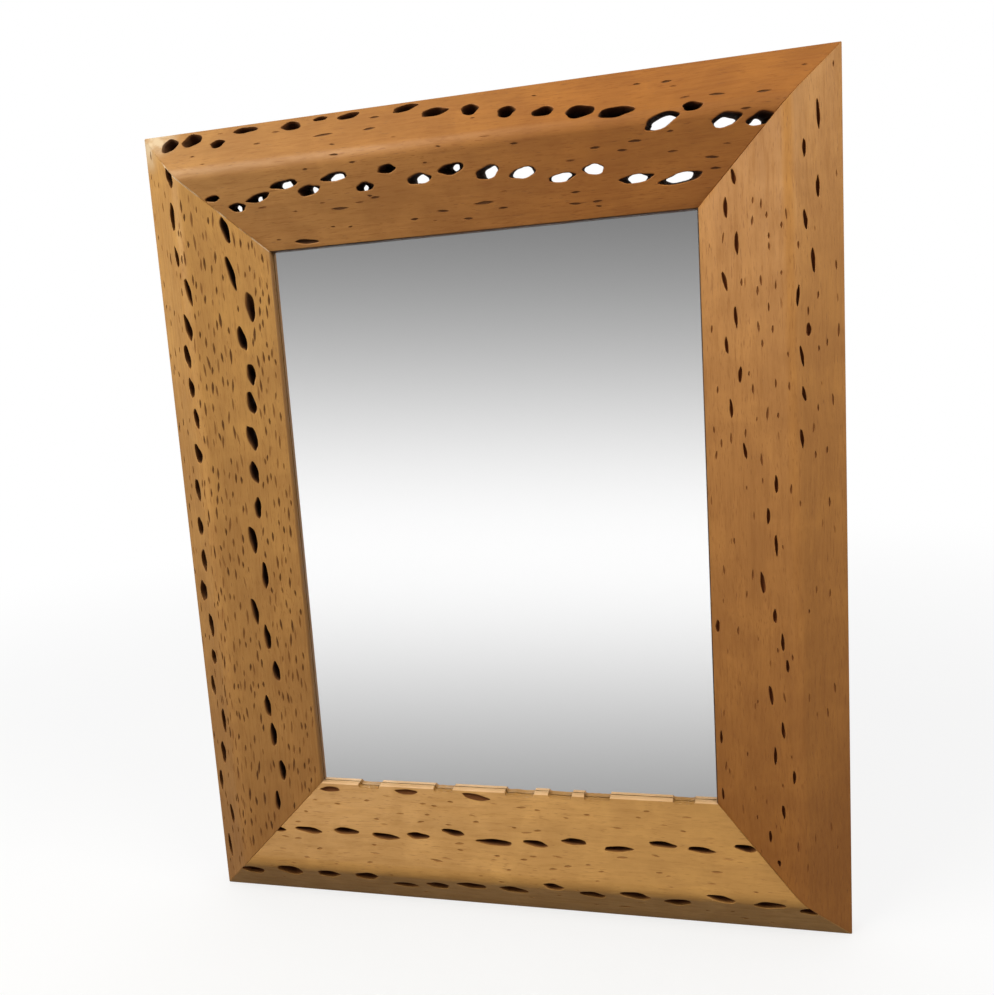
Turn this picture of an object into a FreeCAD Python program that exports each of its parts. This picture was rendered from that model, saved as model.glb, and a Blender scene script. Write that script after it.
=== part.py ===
import FreeCAD, Part

import math
import os
import re
from typing import NamedTuple

import Sketcher

# A wall mirror in a mitred frame of porous cactus wood. It hangs with its face towards -Y.
# The origin is the middle of the bottom rail's flat underside, +Z is up, and +X is to the
# right of someone who looks into the glass. All sizes are in millimetres.

DRIVING_SIZES = {
    # the plate of mirror glass, its silvering and the board behind it
    "plate_width": 300.0,
    "plate_height": 400.0,
    "plate_thickness": 3.0,
    "silvering_thickness": 0.2,
    "board_thickness": 3.0,
    "plate_clearance": 2.0,
    "lip_overlap": 6.0,
    # the moulding's section, heights counted from its flat back
    "moulding_width": 84.0,
    "moulding_depth": 40.0,
    "outer_wall": 19.0,
    "ridge_inset": 32.0,
    "ridge_radius": 10.0,
    "arris_radius": 1.5,
    "lip_thickness": 4.0,
    "rebate_spare": 2.8,
    # the pores that run through the wood towards the heart of the trunk
    "pore_length": 20.0,
    "pore_height": 8.0,
    "heart_inset": 25.0,
    "heart_behind": 95.0,
    "pit_depth": 10.0,
    "lip_pit_depth": 4.0,
    # the hidden spline in each mitre, shaped like a flat almond
    "spline_length": 34.0,
    "spline_width": 13.0,
    "spline_thickness": 4.0,
    "spline_margin": 1.8,
    "spline_gap": 1.0,
    "slot_clearance": 0.2,
    # the two corner nails across the back of each mitre
    "nail_leg": 5.0,
    "nail_thickness": 0.6,
    "nail_depth": 8.0,
    "outer_nail_inset": 20.0,
    "inner_nail_margin": 9.0,
    # the slips that keep the plate in the middle of its rebate
    "slip_length": 30.0,
    "slip_depth": 5.0,
    "slip_gap": 0.2,
    # the headless sprigs that hold the board down
    "sprig_radius": 0.6,
    "sprig_tip_radius": 0.3,
    "sprig_taper": 4.0,
    "sprig_length": 15.0,
    "sprig_hold": 8.0,
    "sprig_clearance": 0.05,
    # the hanger straps, each one folded round the bar of its ring
    "hanger_drop": 162.0,
    "strap_width": 12.0,
    "strap_metal_thickness": 0.8,
    "strap_neck": 3.0,
    "strap_tail": 6.0,
    "strap_corner_radius": 4.0,
    "ring_clearance": 0.1,
    "fold_clearance": 0.35,
    "fold_gap": 3.6,
    "ring_edge_gap": 0.8,
    # the D-shaped rings
    "wire_radius": 1.2,
    "ring_bar": 14.0,
    "ring_corner_radius": 3.0,
    "ring_side": 3.0,
    # the round-head screws
    "screw_radius": 1.5,
    "screw_head_radius": 3.2,
    "screw_head_height": 2.2,
    "screw_length": 14.0,
    "screw_point": 3.0,
    "screw_pitch": 10.0,
    "screw_clearance": 0.1,
    # the bumpers that keep the frame's foot off the wall
    "bumper_radius": 8.0,
    "bumper_face_radius": 7.0,
    "bumper_height": 5.5,
    "bumper_inset": 41.0,
    # how far a cut runs past what it cuts
    "overrun": 5.0,
}

# Sizes that follow from the driving ones, each in terms of those above it.
WORKED_OUT_SIZES = {
    "outer_width": "plate_width - 2 * lip_overlap + 2 * moulding_width",
    "outer_height": "plate_height - 2 * lip_overlap + 2 * moulding_width",
    "half_width": "outer_width / 2",
    "back_plane": "outer_wall / 2",
    "rebate_width": "lip_overlap + plate_clearance",
    "rebate_inset": "moulding_width - rebate_width",
    "stack_depth": "plate_thickness + silvering_thickness + board_thickness",
    "rebate_depth": "stack_depth + rebate_spare",
    "lip_front": "rebate_depth + lip_thickness",
    "notch_depth": "2 * lip_thickness",
    "ridge_centre": "moulding_depth - ridge_radius",
    "glass_front": "back_plane - rebate_depth",
    "silvering_front": "glass_front + plate_thickness",
    "board_front": "silvering_front + silvering_thickness",
    "plate_inset": "rebate_inset + plate_clearance",
    "mitre_reach": "moulding_width + overrun",
    "rail_end": "outer_width + overrun",
    "rail_mitre": "outer_width - moulding_width - overrun",
    "stile_end": "outer_height + overrun",
    "stile_mitre": "outer_height - moulding_width - overrun",
    "spline_half": "spline_length / 2",
    "spline_edge": "spline_width / 2",
    "spline_radius": "(spline_half ^ 2 + spline_edge ^ 2) / spline_width",
    "spline_back": "nail_depth + spline_gap",
    "spline_inset": "rebate_inset - spline_margin - spline_half / sqrt(2)",
    "outer_nail_end": "outer_nail_inset + nail_leg",
    "outer_nail_inside": "outer_nail_inset + nail_thickness",
    "inner_nail_inset": "rebate_inset - inner_nail_margin - nail_leg",
    "inner_nail_end": "inner_nail_inset + nail_leg",
    "inner_nail_inside": "inner_nail_inset + nail_thickness",
    "slip_thickness": "plate_clearance - slip_gap",
    "sprig_back": "rebate_spare - sprig_radius - sprig_clearance",
    "strap_thickness": "2 * strap_metal_thickness",
    "bore_radius": "wire_radius + ring_clearance",
    "barrel_radius": "bore_radius + strap_metal_thickness",
    "hinge_lift": "strap_thickness + wire_radius + fold_clearance",
    "strap_face_drop": "hinge_lift - strap_thickness",
    "strap_bend": "barrel_radius + strap_neck",
    "half_bar": "ring_bar / 2",
    "bow_radius": "half_bar + ring_corner_radius",
    "side_start": "ring_corner_radius",
    "side_end": "ring_corner_radius + ring_side",
    "ring_reach": "side_end + bow_radius",
    "screw_near": "ring_reach + wire_radius + screw_head_radius + fold_gap",
    "screw_far": "screw_near + screw_pitch",
    "screw_shank": "screw_length - screw_point",
    "screw_dome_radius": "(screw_head_radius ^ 2 + screw_head_height ^ 2) / (2 * screw_head_height)",
    "strap_reach": "screw_far + strap_tail",
    "hinge_inset": "rebate_inset - ring_edge_gap - ring_reach - wire_radius",
}

# One row of pores follows the grain. Each pore is given as shares: its place between the two
# mitres, from the left or lower one, its place across the moulding from the outer edge, its
# length and its height. The shares follow the distance between the mitres there, the
# moulding's width and the two pore sizes.
TOP_OUTER_PORE_SHARES = [
    (0.033, 0.10, 0.65, 1.50), (0.074, 0.08, 0.80, 1.40), (0.112, 0.14, 0.60, 0.90),
    (0.167, 0.05, 0.90, 0.75), (0.241, 0.07, 0.75, 1.00), (0.289, 0.04, 0.55, 0.50),
    (0.333, 0.05, 0.75, 0.75), (0.420, 0.05, 0.95, 0.75), (0.465, 0.12, 0.95, 0.90),
    (0.519, 0.14, 0.65, 1.10), (0.576, 0.20, 0.65, 1.10), (0.633, 0.24, 0.75, 0.90),
    (0.691, 0.28, 1.00, 1.10), (0.748, 0.32, 1.05, 1.00), (0.827, 0.42, 1.10, 1.10),
    (0.863, 0.35, 0.65, 0.75), (0.930, 0.46, 0.90, 1.10), (0.985, 0.48, 0.80, 1.10),
]
TOP_INNER_PORE_SHARES = [
    (0.020, 0.57, 0.60, 0.60), (0.048, 0.65, 0.70, 0.80), (0.106, 0.60, 0.95, 0.75),
    (0.176, 0.53, 1.00, 0.80), (0.211, 0.59, 0.85, 0.90), (0.275, 0.52, 0.90, 0.80),
    (0.319, 0.61, 0.70, 0.80), (0.373, 0.51, 0.70, 0.75), (0.424, 0.60, 0.85, 0.95),
    (0.486, 0.56, 0.85, 1.00), (0.550, 0.61, 0.85, 1.05), (0.615, 0.64, 0.85, 1.00),
    (0.689, 0.70, 0.95, 0.75), (0.744, 0.67, 0.70, 0.90), (0.832, 0.76, 1.10, 0.75),
    (0.920, 0.79, 1.30, 0.95),
]
TOP_LIP_PIT_SHARES = [
    (0.112, 0.95, 0.85, 0.55),
]
BOTTOM_OUTER_PORE_SHARES = [
    (0.024, 0.26, 0.85, 0.90), (0.095, 0.30, 1.05, 1.10), (0.171, 0.29, 0.90, 0.75),
    (0.244, 0.30, 0.90, 0.90), (0.319, 0.21, 0.90, 0.60), (0.377, 0.24, 0.85, 0.75),
    (0.439, 0.28, 1.00, 0.75), (0.512, 0.27, 0.95, 0.90), (0.586, 0.35, 0.70, 0.75),
    (0.648, 0.29, 0.85, 0.75), (0.723, 0.32, 1.00, 0.90), (0.787, 0.28, 0.85, 0.90),
    (0.869, 0.36, 0.85, 0.75), (0.939, 0.33, 0.95, 0.75), (0.994, 0.29, 0.70, 1.00),
]
BOTTOM_INNER_PORE_SHARES = [
    (0.006, 0.63, 0.45, 0.45), (0.069, 0.64, 1.05, 0.55), (0.152, 0.65, 1.00, 0.50),
    (0.243, 0.63, 1.00, 0.55), (0.312, 0.65, 0.80, 0.55), (0.385, 0.69, 0.85, 0.55),
    (0.476, 0.64, 1.20, 0.50), (0.560, 0.65, 0.90, 0.50), (0.640, 0.68, 0.80, 0.55),
    (0.725, 0.65, 0.95, 0.50), (0.819, 0.70, 0.95, 0.50), (0.890, 0.68, 0.85, 0.55),
    (0.981, 0.71, 0.70, 0.60),
]
BOTTOM_LIP_PIT_SHARES = [
    (0.038, 0.95, 0.85, 0.50), (0.239, 0.96, 0.85, 0.55), (0.418, 0.95, 1.05, 0.60),
]
BOTTOM_EDGE_NOTCH_SHARES = [
    (0.130, 1.00, 0.85, 0.65), (0.330, 1.00, 0.75, 0.60), (0.526, 1.00, 1.05, 0.70),
    (0.627, 1.00, 0.85, 0.65), (0.718, 1.00, 0.90, 0.65), (0.924, 1.00, 0.75, 0.60),
]
LEFT_OUTER_PORE_SHARES = [
    (0.049, 0.10, 0.90, 0.60), (0.090, 0.20, 0.80, 0.60), (0.149, 0.07, 0.85, 0.75),
    (0.185, 0.17, 0.90, 0.90), (0.230, 0.24, 0.90, 0.75), (0.285, 0.12, 0.85, 0.75),
    (0.325, 0.19, 0.60, 0.90), (0.371, 0.21, 0.80, 0.90), (0.420, 0.14, 0.85, 1.25),
    (0.464, 0.21, 0.70, 1.10), (0.512, 0.21, 0.70, 1.00), (0.564, 0.24, 0.90, 0.90),
    (0.617, 0.31, 0.80, 1.00), (0.668, 0.34, 0.70, 0.75), (0.709, 0.32, 0.70, 0.90),
    (0.752, 0.31, 0.80, 1.00), (0.795, 0.36, 0.90, 0.80), (0.848, 0.40, 1.00, 0.50),
    (0.886, 0.32, 0.70, 0.60), (0.939, 0.32, 0.95, 0.70), (0.993, 0.33, 0.80, 0.80),
]
LEFT_INNER_PORE_SHARES = [
    (0.046, 0.65, 0.70, 0.40), (0.088, 0.71, 0.85, 0.45), (0.158, 0.67, 0.80, 0.50),
    (0.211, 0.65, 0.85, 0.50), (0.259, 0.74, 0.70, 0.60), (0.322, 0.70, 0.90, 0.50),
    (0.373, 0.63, 0.90, 0.50), (0.426, 0.73, 0.90, 0.50), (0.489, 0.67, 0.95, 0.70),
    (0.540, 0.73, 0.70, 0.50), (0.599, 0.73, 0.80, 0.75), (0.656, 0.74, 1.00, 0.75),
    (0.714, 0.76, 0.90, 0.60), (0.763, 0.78, 0.75, 0.75), (0.816, 0.74, 0.95, 0.55),
    (0.878, 0.82, 1.00, 0.75), (0.915, 0.71, 1.15, 0.50), (0.979, 0.70, 0.90, 0.60),
]
RIGHT_LOWER_PIT_SHARES = [
    (0.021, 0.54, 0.25, 0.40), (0.047, 0.60, 0.40, 0.40), (0.105, 0.50, 0.50, 0.40),
    (0.168, 0.42, 0.45, 0.40), (0.176, 0.55, 0.60, 0.40), (0.222, 0.49, 0.60, 0.40),
    (0.261, 0.57, 0.60, 0.50), (0.315, 0.45, 0.40, 0.40), (0.344, 0.48, 0.60, 0.40),
    (0.376, 0.53, 0.45, 0.50), (0.417, 0.61, 0.75, 0.55), (0.473, 0.51, 0.65, 0.40),
    (0.511, 0.56, 0.50, 0.45), (0.553, 0.50, 0.55, 0.45),
]
RIGHT_OUTER_PIT_SHARES = [
    (0.605, 0.32, 0.55, 0.45), (0.656, 0.30, 0.45, 0.45), (0.701, 0.31, 0.60, 0.40),
    (0.727, 0.26, 0.45, 0.55), (0.772, 0.33, 0.60, 0.40), (0.801, 0.22, 0.70, 0.50),
    (0.851, 0.27, 0.55, 0.50), (0.876, 0.18, 0.60, 0.50), (0.929, 0.27, 0.55, 0.40),
    (0.951, 0.17, 0.80, 0.45),
]
RIGHT_INNER_PIT_SHARES = [
    (0.603, 0.71, 0.50, 0.45), (0.669, 0.80, 0.60, 0.45), (0.712, 0.73, 0.55, 0.45),
    (0.763, 0.82, 0.55, 0.45), (0.795, 0.75, 0.65, 0.45), (0.856, 0.82, 0.65, 0.50),
    (0.893, 0.73, 0.65, 0.55), (0.955, 0.80, 0.65, 0.50), (0.984, 0.74, 0.50, 0.50),
]
RIGHT_LIP_PIT_SHARES = [
    (0.030, 0.95, 0.40, 0.35), (0.131, 0.95, 0.45, 0.40), (0.323, 0.95, 0.45, 0.55),
]

# How far a pore leans along the grain for each step back, as a share of that step. A plus
# sign leans it towards the member's right or upper end.
TOP_LEAN_SHARE = -0.18
BOTTOM_LEAN_SHARE = -0.10
LEFT_LEAN_SHARE = 0.10
RIGHT_LEAN_SHARE = -0.12

# Where the sprigs and the slips sit along each side, as shares of that side of the plate.
SPRIG_SHARES = (0.18, 0.50, 0.82)
SLIP_SHARES = (0.26, 0.74)


class Member(NamedTuple):
    """One length of the moulding. Its own length starts at the corner that it names.

    Seen from the front the four follow each other anticlockwise from the bottom rail, so the
    top rail and the left stile run against the direction in which their pores are counted.
    Each row of pores comes with the name of its depth, or None where it runs right through.
    """
    name: str
    corner: str
    length: str
    quarter_turns: int
    start_x: str
    start_z: str
    against: bool
    lean_share: float
    rows: list


MEMBERS = [
    Member("bottom_rail", "bottom_left", "outer_width", 0, "-half_width", "0", False, BOTTOM_LEAN_SHARE,
           [(BOTTOM_OUTER_PORE_SHARES, None), (BOTTOM_INNER_PORE_SHARES, None),
            (BOTTOM_LIP_PIT_SHARES, "lip_pit_depth"), (BOTTOM_EDGE_NOTCH_SHARES, "notch_depth")]),
    Member("right_stile", "bottom_right", "outer_height", 1, "half_width", "0", False, RIGHT_LEAN_SHARE,
           [(RIGHT_LOWER_PIT_SHARES, "pit_depth"), (RIGHT_OUTER_PIT_SHARES, "pit_depth"),
            (RIGHT_INNER_PIT_SHARES, "pit_depth"), (RIGHT_LIP_PIT_SHARES, "lip_pit_depth")]),
    Member("top_rail", "top_right", "outer_width", 2, "half_width", "outer_height", True, TOP_LEAN_SHARE,
           [(TOP_OUTER_PORE_SHARES, None), (TOP_INNER_PORE_SHARES, None),
            (TOP_LIP_PIT_SHARES, "lip_pit_depth")]),
    Member("left_stile", "top_left", "outer_height", 3, "-half_width", "outer_height", True,
           LEFT_LEAN_SHARE, [(LEFT_OUTER_PORE_SHARES, None), (LEFT_INNER_PORE_SHARES, None)]),
]

X_AXIS = FreeCAD.Vector(1, 0, 0)
Y_AXIS = FreeCAD.Vector(0, 1, 0)
Z_AXIS = FreeCAD.Vector(0, 0, 1)
QUARTER = math.degrees(math.pi / 2)
START, END, CENTRE = range(1, 4)
HORIZONTAL_AXIS, VERTICAL_AXIS = range(-1, -3, -1)
ORIGIN_POINT = (HORIZONTAL_AXIS, START)
SAME_LINE_SHARE = 0.001

doc = FreeCAD.newDocument("mirror")
sheet = doc.addObject("Spreadsheet::Sheet", "Sizes")
for row, (alias, number) in enumerate(DRIVING_SIZES.items(), start=1):
    sheet.set(f"A{row}", alias)
    sheet.set(f"B{row}", str(number))
    sheet.setAlias(f"B{row}", alias)
doc.recompute()


def formula(text):
    """The expression for a formula whose names are driving or worked-out sizes."""
    def with_owner(match):
        name = match.group()
        if name in DRIVING_SIZES:
            return "Sizes." + name
        if name in WORKED_OUT_SIZES:
            return "Derived." + name
        return name
    return re.sub(r"[a-z][a-z_]+", with_owner, text)


derived = doc.addObject("App::VarSet", "Derived")
for name, text in WORKED_OUT_SIZES.items():
    derived.addProperty("App::PropertyFloat", name, "Sizes")
for name, text in WORKED_OUT_SIZES.items():
    derived.setExpression(name, formula(text))
doc.recompute()


def value(name):
    """The number behind a size's name, which may have a minus sign before it, or behind zero."""
    if name in ("zero", "0"):
        return 0.0
    if name.startswith("-"):
        return -value(name[1:])
    if name in DRIVING_SIZES:
        return float(sheet.get(name))
    return float(getattr(derived, name))


def place(thing, x_formula, y_formula, z_formula, rotation):
    """Give a thing its rotation and tie its position to the sizes."""
    thing.Placement = FreeCAD.Placement(FreeCAD.Vector(0, 0, 0), rotation)
    thing.setExpression("Placement.Base.x", formula(x_formula))
    thing.setExpression("Placement.Base.y", formula(y_formula))
    thing.setExpression("Placement.Base.z", formula(z_formula))


def turned_about(axis, angle):
    return FreeCAD.Rotation(axis, angle)


def origin_feature(body, role):
    return [feature for feature in body.Origin.OriginFeatures if feature.Role == role][0]


def sketch_on(body, name, role):
    sketch = body.newObject("Sketcher::SketchObject", name)
    sketch.AttachmentSupport = [(origin_feature(body, role), "")]
    sketch.MapMode = "FlatFace"
    return sketch


def point(x_name, y_name):
    return FreeCAD.Vector(value(x_name), value(y_name), 0)


def pin(sketch, geometry, position, x_name, y_name):
    """Fix one point of a sketch at two named distances from its origin."""
    for kind, name, axis in (("DistanceX", x_name, VERTICAL_AXIS), ("DistanceY", y_name, HORIZONTAL_AXIS)):
        if name == "zero":
            sketch.addConstraint(Sketcher.Constraint("PointOnObject", geometry, position, axis))
            continue
        index = sketch.addConstraint(
            Sketcher.Constraint(kind, *ORIGIN_POINT, geometry, position, value(name)))
        sketch.setExpression(f"Constraints[{index}]", formula(name))


def set_radius(sketch, geometry, name):
    index = sketch.addConstraint(Sketcher.Constraint("Radius", geometry, value(name)))
    sketch.setExpression(f"Constraints[{index}]", formula(name))


def join(sketch, first, first_position, second, second_position, kind="Coincident"):
    sketch.addConstraint(Sketcher.Constraint(kind, first, first_position, second, second_position))


def add_polygon(sketch, corners):
    """Draw a closed outline through corners that are each named in x and in y."""
    first = sketch.GeometryCount
    points = [point(*corner) for corner in corners]
    for index, start in enumerate(points):
        sketch.addGeometry(Part.LineSegment(start, points[(index + 1) % len(points)]), False)
    for index, corner in enumerate(corners):
        join(sketch, first + index, END, first + (index + 1) % len(corners), START)
        pin(sketch, first + index, START, *corner)


def add_circle(sketch, x_name, y_name, radius_name):
    geometry = sketch.addGeometry(Part.Circle(point(x_name, y_name), Z_AXIS, value(radius_name)), False)
    pin(sketch, geometry, CENTRE, x_name, y_name)
    set_radius(sketch, geometry, radius_name)


def tangent_angle(centre, radius, outside, side):
    """The angle, about a circle's centre, at which a line from an outside point touches it.

    side is plus or minus one and picks between the two tangents.
    """
    away = outside - centre
    return math.atan2(away.y, away.x) + side * math.acos(radius / away.Length)


def on_circle(centre, radius, angle):
    return centre + FreeCAD.Vector(math.cos(angle), math.sin(angle), 0) * radius


def pad(body, sketch, name, length_name):
    feature = body.newObject("PartDesign::Pad", name)
    feature.Profile = sketch
    feature.setExpression("Length", formula(length_name))
    sketch.Visibility = False
    return feature


def cut_through(body, sketch, name):
    feature = body.newObject("PartDesign::Pocket", name)
    feature.Profile = sketch
    feature.Type = "ThroughAll"
    feature.SideType = "Symmetric"
    return feature


def revolve(body, sketch, name, role):
    feature = body.newObject("PartDesign::Revolution", name)
    feature.Profile = sketch
    feature.ReferenceAxis = (origin_feature(body, role), [""])
    return feature


def new_body(name):
    return doc.addObject("PartDesign::Body", name)


nodes = []


def keep(thing, label):
    """Name a finished piece, so that it is written to the file of that name."""
    thing.Label = label
    nodes.append(thing)
    return thing


def ridge_touches():
    """The two angles at which the slopes of the moulding touch its rounded ridge."""
    centre = point("ridge_inset", "ridge_centre")
    radius = value("ridge_radius")
    outer_angle = tangent_angle(centre, radius, point("zero", "outer_wall"), -1)
    inner_angle = tangent_angle(centre, radius, point("moulding_width", "lip_front"), 1)
    return centre, radius, outer_angle % math.tau, inner_angle % math.tau


def face_height(inset):
    """How high the moulding's face stands above its back at an inset from the outer edge."""
    centre, radius, outer_angle, inner_angle = ridge_touches()
    outer_touch = on_circle(centre, radius, outer_angle)
    inner_touch = on_circle(centre, radius, inner_angle)
    outer_arris = point("zero", "outer_wall")
    sight_arris = point("moulding_width", "lip_front")
    if inset <= outer_touch.x:
        start, end = outer_arris, outer_touch
    elif inset >= inner_touch.x:
        start, end = inner_touch, sight_arris
    else:
        return centre.y + math.sqrt(radius ** 2 - (inset - centre.x) ** 2)
    return start.y + (inset - start.x) * (end.y - start.y) / (end.x - start.x)


def moulding_sketch(body):
    """The moulding's section: inset from the outer edge by height above the back."""
    sketch = sketch_on(body, "Section", "YZ_Plane")
    centre, radius, outer_angle, inner_angle = ridge_touches()
    outer_touch = on_circle(centre, radius, outer_angle)
    inner_touch = on_circle(centre, radius, inner_angle)
    corners = [
        ("zero", "zero"), ("zero", "outer_wall"), ("moulding_width", "lip_front"),
        ("moulding_width", "rebate_depth"), ("rebate_inset", "rebate_depth"), ("rebate_inset", "zero"),
    ]
    points = [point(*corner) for corner in corners]
    wall, outer_slope, ridge, inner_slope, lip, rebate_floor, rebate_wall, back = range(8)
    ridge_arc = Part.ArcOfCircle(Part.Circle(centre, Z_AXIS, radius), inner_angle, outer_angle)
    lines = [
        Part.LineSegment(points[0], points[1]), Part.LineSegment(points[1], outer_touch), ridge_arc,
        Part.LineSegment(inner_touch, points[2]), Part.LineSegment(points[2], points[3]),
        Part.LineSegment(points[3], points[4]), Part.LineSegment(points[4], points[5]),
        Part.LineSegment(points[5], points[0]),
    ]
    for line in lines:
        sketch.addGeometry(line, False)
    join(sketch, wall, END, outer_slope, START)
    join(sketch, outer_slope, END, ridge, END, "Tangent")
    join(sketch, inner_slope, START, ridge, START, "Tangent")
    for first, second in ((inner_slope, lip), (lip, rebate_floor), (rebate_floor, rebate_wall),
                          (rebate_wall, back), (back, wall)):
        join(sketch, first, END, second, START)
    for geometry, corner in zip((wall, outer_slope, lip, rebate_floor, rebate_wall, back), corners):
        pin(sketch, geometry, START, *corner)
    pin(sketch, ridge, CENTRE, "ridge_inset", "ridge_centre")
    set_radius(sketch, ridge, "ridge_radius")
    return sketch


def edges_along(shape, inset, height):
    """Names of the straight edges that run the moulding's length at one point of its section."""
    found = []
    for index, edge in enumerate(shape.Edges, start=1):
        on_line = [abs(vertex.Y - inset) + abs(vertex.Z - height) < SAME_LINE_SHARE * value("arris_radius")
                   for vertex in edge.Vertexes]
        if len(on_line) == 2 and all(on_line):
            found.append(f"Edge{index}")
    return found


def member_blank(member):
    """One length of moulding with its arrises eased and a mitre at each end."""
    body = new_body(member.name + "_blank")
    stick = pad(body, moulding_sketch(body), "Stick", member.length)
    doc.recompute()
    eased = body.newObject("PartDesign::Fillet", "EasedArrises")
    eased.Base = (stick, edges_along(stick.Shape, 0.0, value("outer_wall"))
                  + edges_along(stick.Shape, value("moulding_width"), value("lip_front")))
    eased.setExpression("Radius", formula("arris_radius"))
    mitres = sketch_on(body, "Mitres", "XY_Plane")
    add_polygon(mitres, [("-overrun", "-overrun"), ("mitre_reach", "mitre_reach"),
                         ("-overrun", "mitre_reach")])
    far_end = {"outer_width": "rail_end", "outer_height": "stile_end"}[member.length]
    far_mitre = {"outer_width": "rail_mitre", "outer_height": "stile_mitre"}[member.length]
    add_polygon(mitres, [(far_end, "-overrun"), (far_end, "mitre_reach"), (far_mitre, "mitre_reach")])
    cut_through(body, mitres, "MitreCuts")
    return body


def almond(centre, half_length, half_width, rotation):
    """A flat face between two arcs that meet in points, turned about its own centre."""
    ends = [FreeCAD.Vector(-half_length, 0, 0), FreeCAD.Vector(half_length, 0, 0)]
    arcs = [Part.Arc(ends[0], FreeCAD.Vector(0, side * half_width, 0), ends[1]) for side in (1, -1)]
    face = Part.Face(Part.Wire([arc.toShape() for arc in arcs]))
    face.Placement = FreeCAD.Placement(centre, rotation)
    return face


def pore(along, across, half_length, half_width, lean, depth):
    """The space of one pore, driven from over the face back towards the heart of the trunk."""
    surface = FreeCAD.Vector(along, across, face_height(across))
    back_by = value("heart_behind") + surface.z
    inward = FreeCAD.Vector(lean, (value("heart_inset") - across) / back_by, -1)
    rise = value("moulding_depth") + value("overrun") - surface.z
    facing_in = FreeCAD.Rotation(X_AXIS, Y_AXIS, inward, "ZXY")
    mouth = almond(surface - inward * rise, half_length, half_width, facing_in)
    return mouth.extrude(inward * (rise + depth))


def member_pores(member):
    """All the pores of one member, from its rows of shares."""
    pores = []
    lean = -member.lean_share if member.against else member.lean_share
    for shares, depth_name in member.rows:
        for along_share, across_share, length_share, height_share in shares:
            across = value("moulding_width") * across_share
            share = 1 - along_share if member.against else along_share
            along = across + share * (value(member.length) - 2 * across)
            depth = value(depth_name) if depth_name else face_height(across) + value("overrun")
            pores.append(pore(along, across, value("pore_length") * length_share / 2,
                              value("pore_height") * height_share / 2, lean, depth))
    return pores


def both_ends(shapes, length):
    """Shapes at a member's near end, with their mirror images at its far end."""
    middle = FreeCAD.Vector(length / 2, 0, 0)
    return shapes + [shape.mirror(middle, X_AXIS) for shape in shapes]


def spline_slot():
    clearance = value("slot_clearance")
    centre = FreeCAD.Vector(value("spline_inset"), value("spline_inset"), value("spline_back") - clearance)
    face = almond(centre, value("spline_half") + clearance, value("spline_edge") + clearance,
                  turned_about(Z_AXIS, QUARTER / 2))
    return face.extrude(Z_AXIS * (value("spline_thickness") + 2 * clearance))


def nail_slot(inset_name, end_name, inside_name):
    """The L-shaped slot that one corner nail fills, open at the moulding's back."""
    start, end, inside = value(inset_name), value(end_name), value(inside_name)
    corners = [(start, start), (end, start), (end, inside), (inside, inside), (inside, end), (start, end)]
    points = [FreeCAD.Vector(x, y, 0) for x, y in corners]
    face = Part.Face(Part.makePolygon(points + points[:1]))
    return face.extrude(Z_AXIS * value("nail_depth"))


def sprig_places(length):
    """How far along a member of this length each of its sprigs is driven in."""
    sight_start = value("plate_inset")
    return [sight_start + share * (length - 2 * sight_start) for share in SPRIG_SHARES]


def sprig_holes(length):
    """The holes that the sprigs make in the rebate's wall."""
    radius = value("sprig_radius") + value("sprig_clearance")
    depth = value("sprig_hold") + value("sprig_clearance")
    start = value("rebate_inset") - depth
    return [Part.makeCylinder(radius, depth + value("overrun"),
                              FreeCAD.Vector(along, start, value("sprig_back")), Y_AXIS)
            for along in sprig_places(length)]


def screw_holes(along):
    """The pilot holes of one hanger's screws, in a stile's flat back."""
    radius = value("screw_radius") + value("screw_clearance")
    depth = value("screw_length") - value("strap_thickness") + value("screw_clearance")
    return [Part.makeCylinder(radius, depth + value("overrun"),
                              FreeCAD.Vector(along, value("hinge_inset") - value(reach), -value("overrun")),
                              Z_AXIS)
            for reach in ("screw_near", "screw_far")]


def member_rotation(member):
    """How a member drawn along X, its back on the XY plane, is turned to stand in the frame."""
    return turned_about(Y_AXIS, -QUARTER * member.quarter_turns).multiply(turned_about(X_AXIS, QUARTER))


def place_at_start(thing, member):
    """Put a thing that is drawn in a member's own axes in its place in the frame."""
    place(thing, member.start_x, "back_plane", member.start_z, member_rotation(member))


def make_members():
    """The four members: a blank each, less its pores, slots and fixing holes."""
    for member in MEMBERS:
        length = value(member.length)
        cuts = member_pores(member) + sprig_holes(length)
        cuts += both_ends([spline_slot(),
                           nail_slot("outer_nail_inset", "outer_nail_end", "outer_nail_inside"),
                           nail_slot("inner_nail_inset", "inner_nail_end", "inner_nail_inside")], length)
        if member.length == "outer_height":
            drop = value("hanger_drop")
            cuts += screw_holes(drop if member.against else length - drop)
        cutters = doc.addObject("Part::Feature", member.name + "_cutters")
        cutters.Shape = Part.makeCompound(cuts)
        pierced = doc.addObject("Part::Cut", member.name)
        pierced.Base = member_blank(member)
        pierced.Tool = cutters
        place_at_start(pierced, member)
        keep(pierced, member.name)


def make_corner_nails():
    """Two corner nails across the back of each mitre, as one piece per corner."""
    for member in MEMBERS:
        body = new_body(member.corner + "_nails")
        outline = sketch_on(body, "Legs", "XY_Plane")
        for start, finish, inside in (("outer_nail_inset", "outer_nail_end", "outer_nail_inside"),
                                      ("inner_nail_inset", "inner_nail_end", "inner_nail_inside")):
            add_polygon(outline, [(start, start), (finish, start), (finish, inside),
                                  (inside, inside), (inside, finish), (start, finish)])
        pad(body, outline, "Nails", "nail_depth")
        place_at_start(body, member)
        keep(body, member.corner + "_corner_nails")


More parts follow.
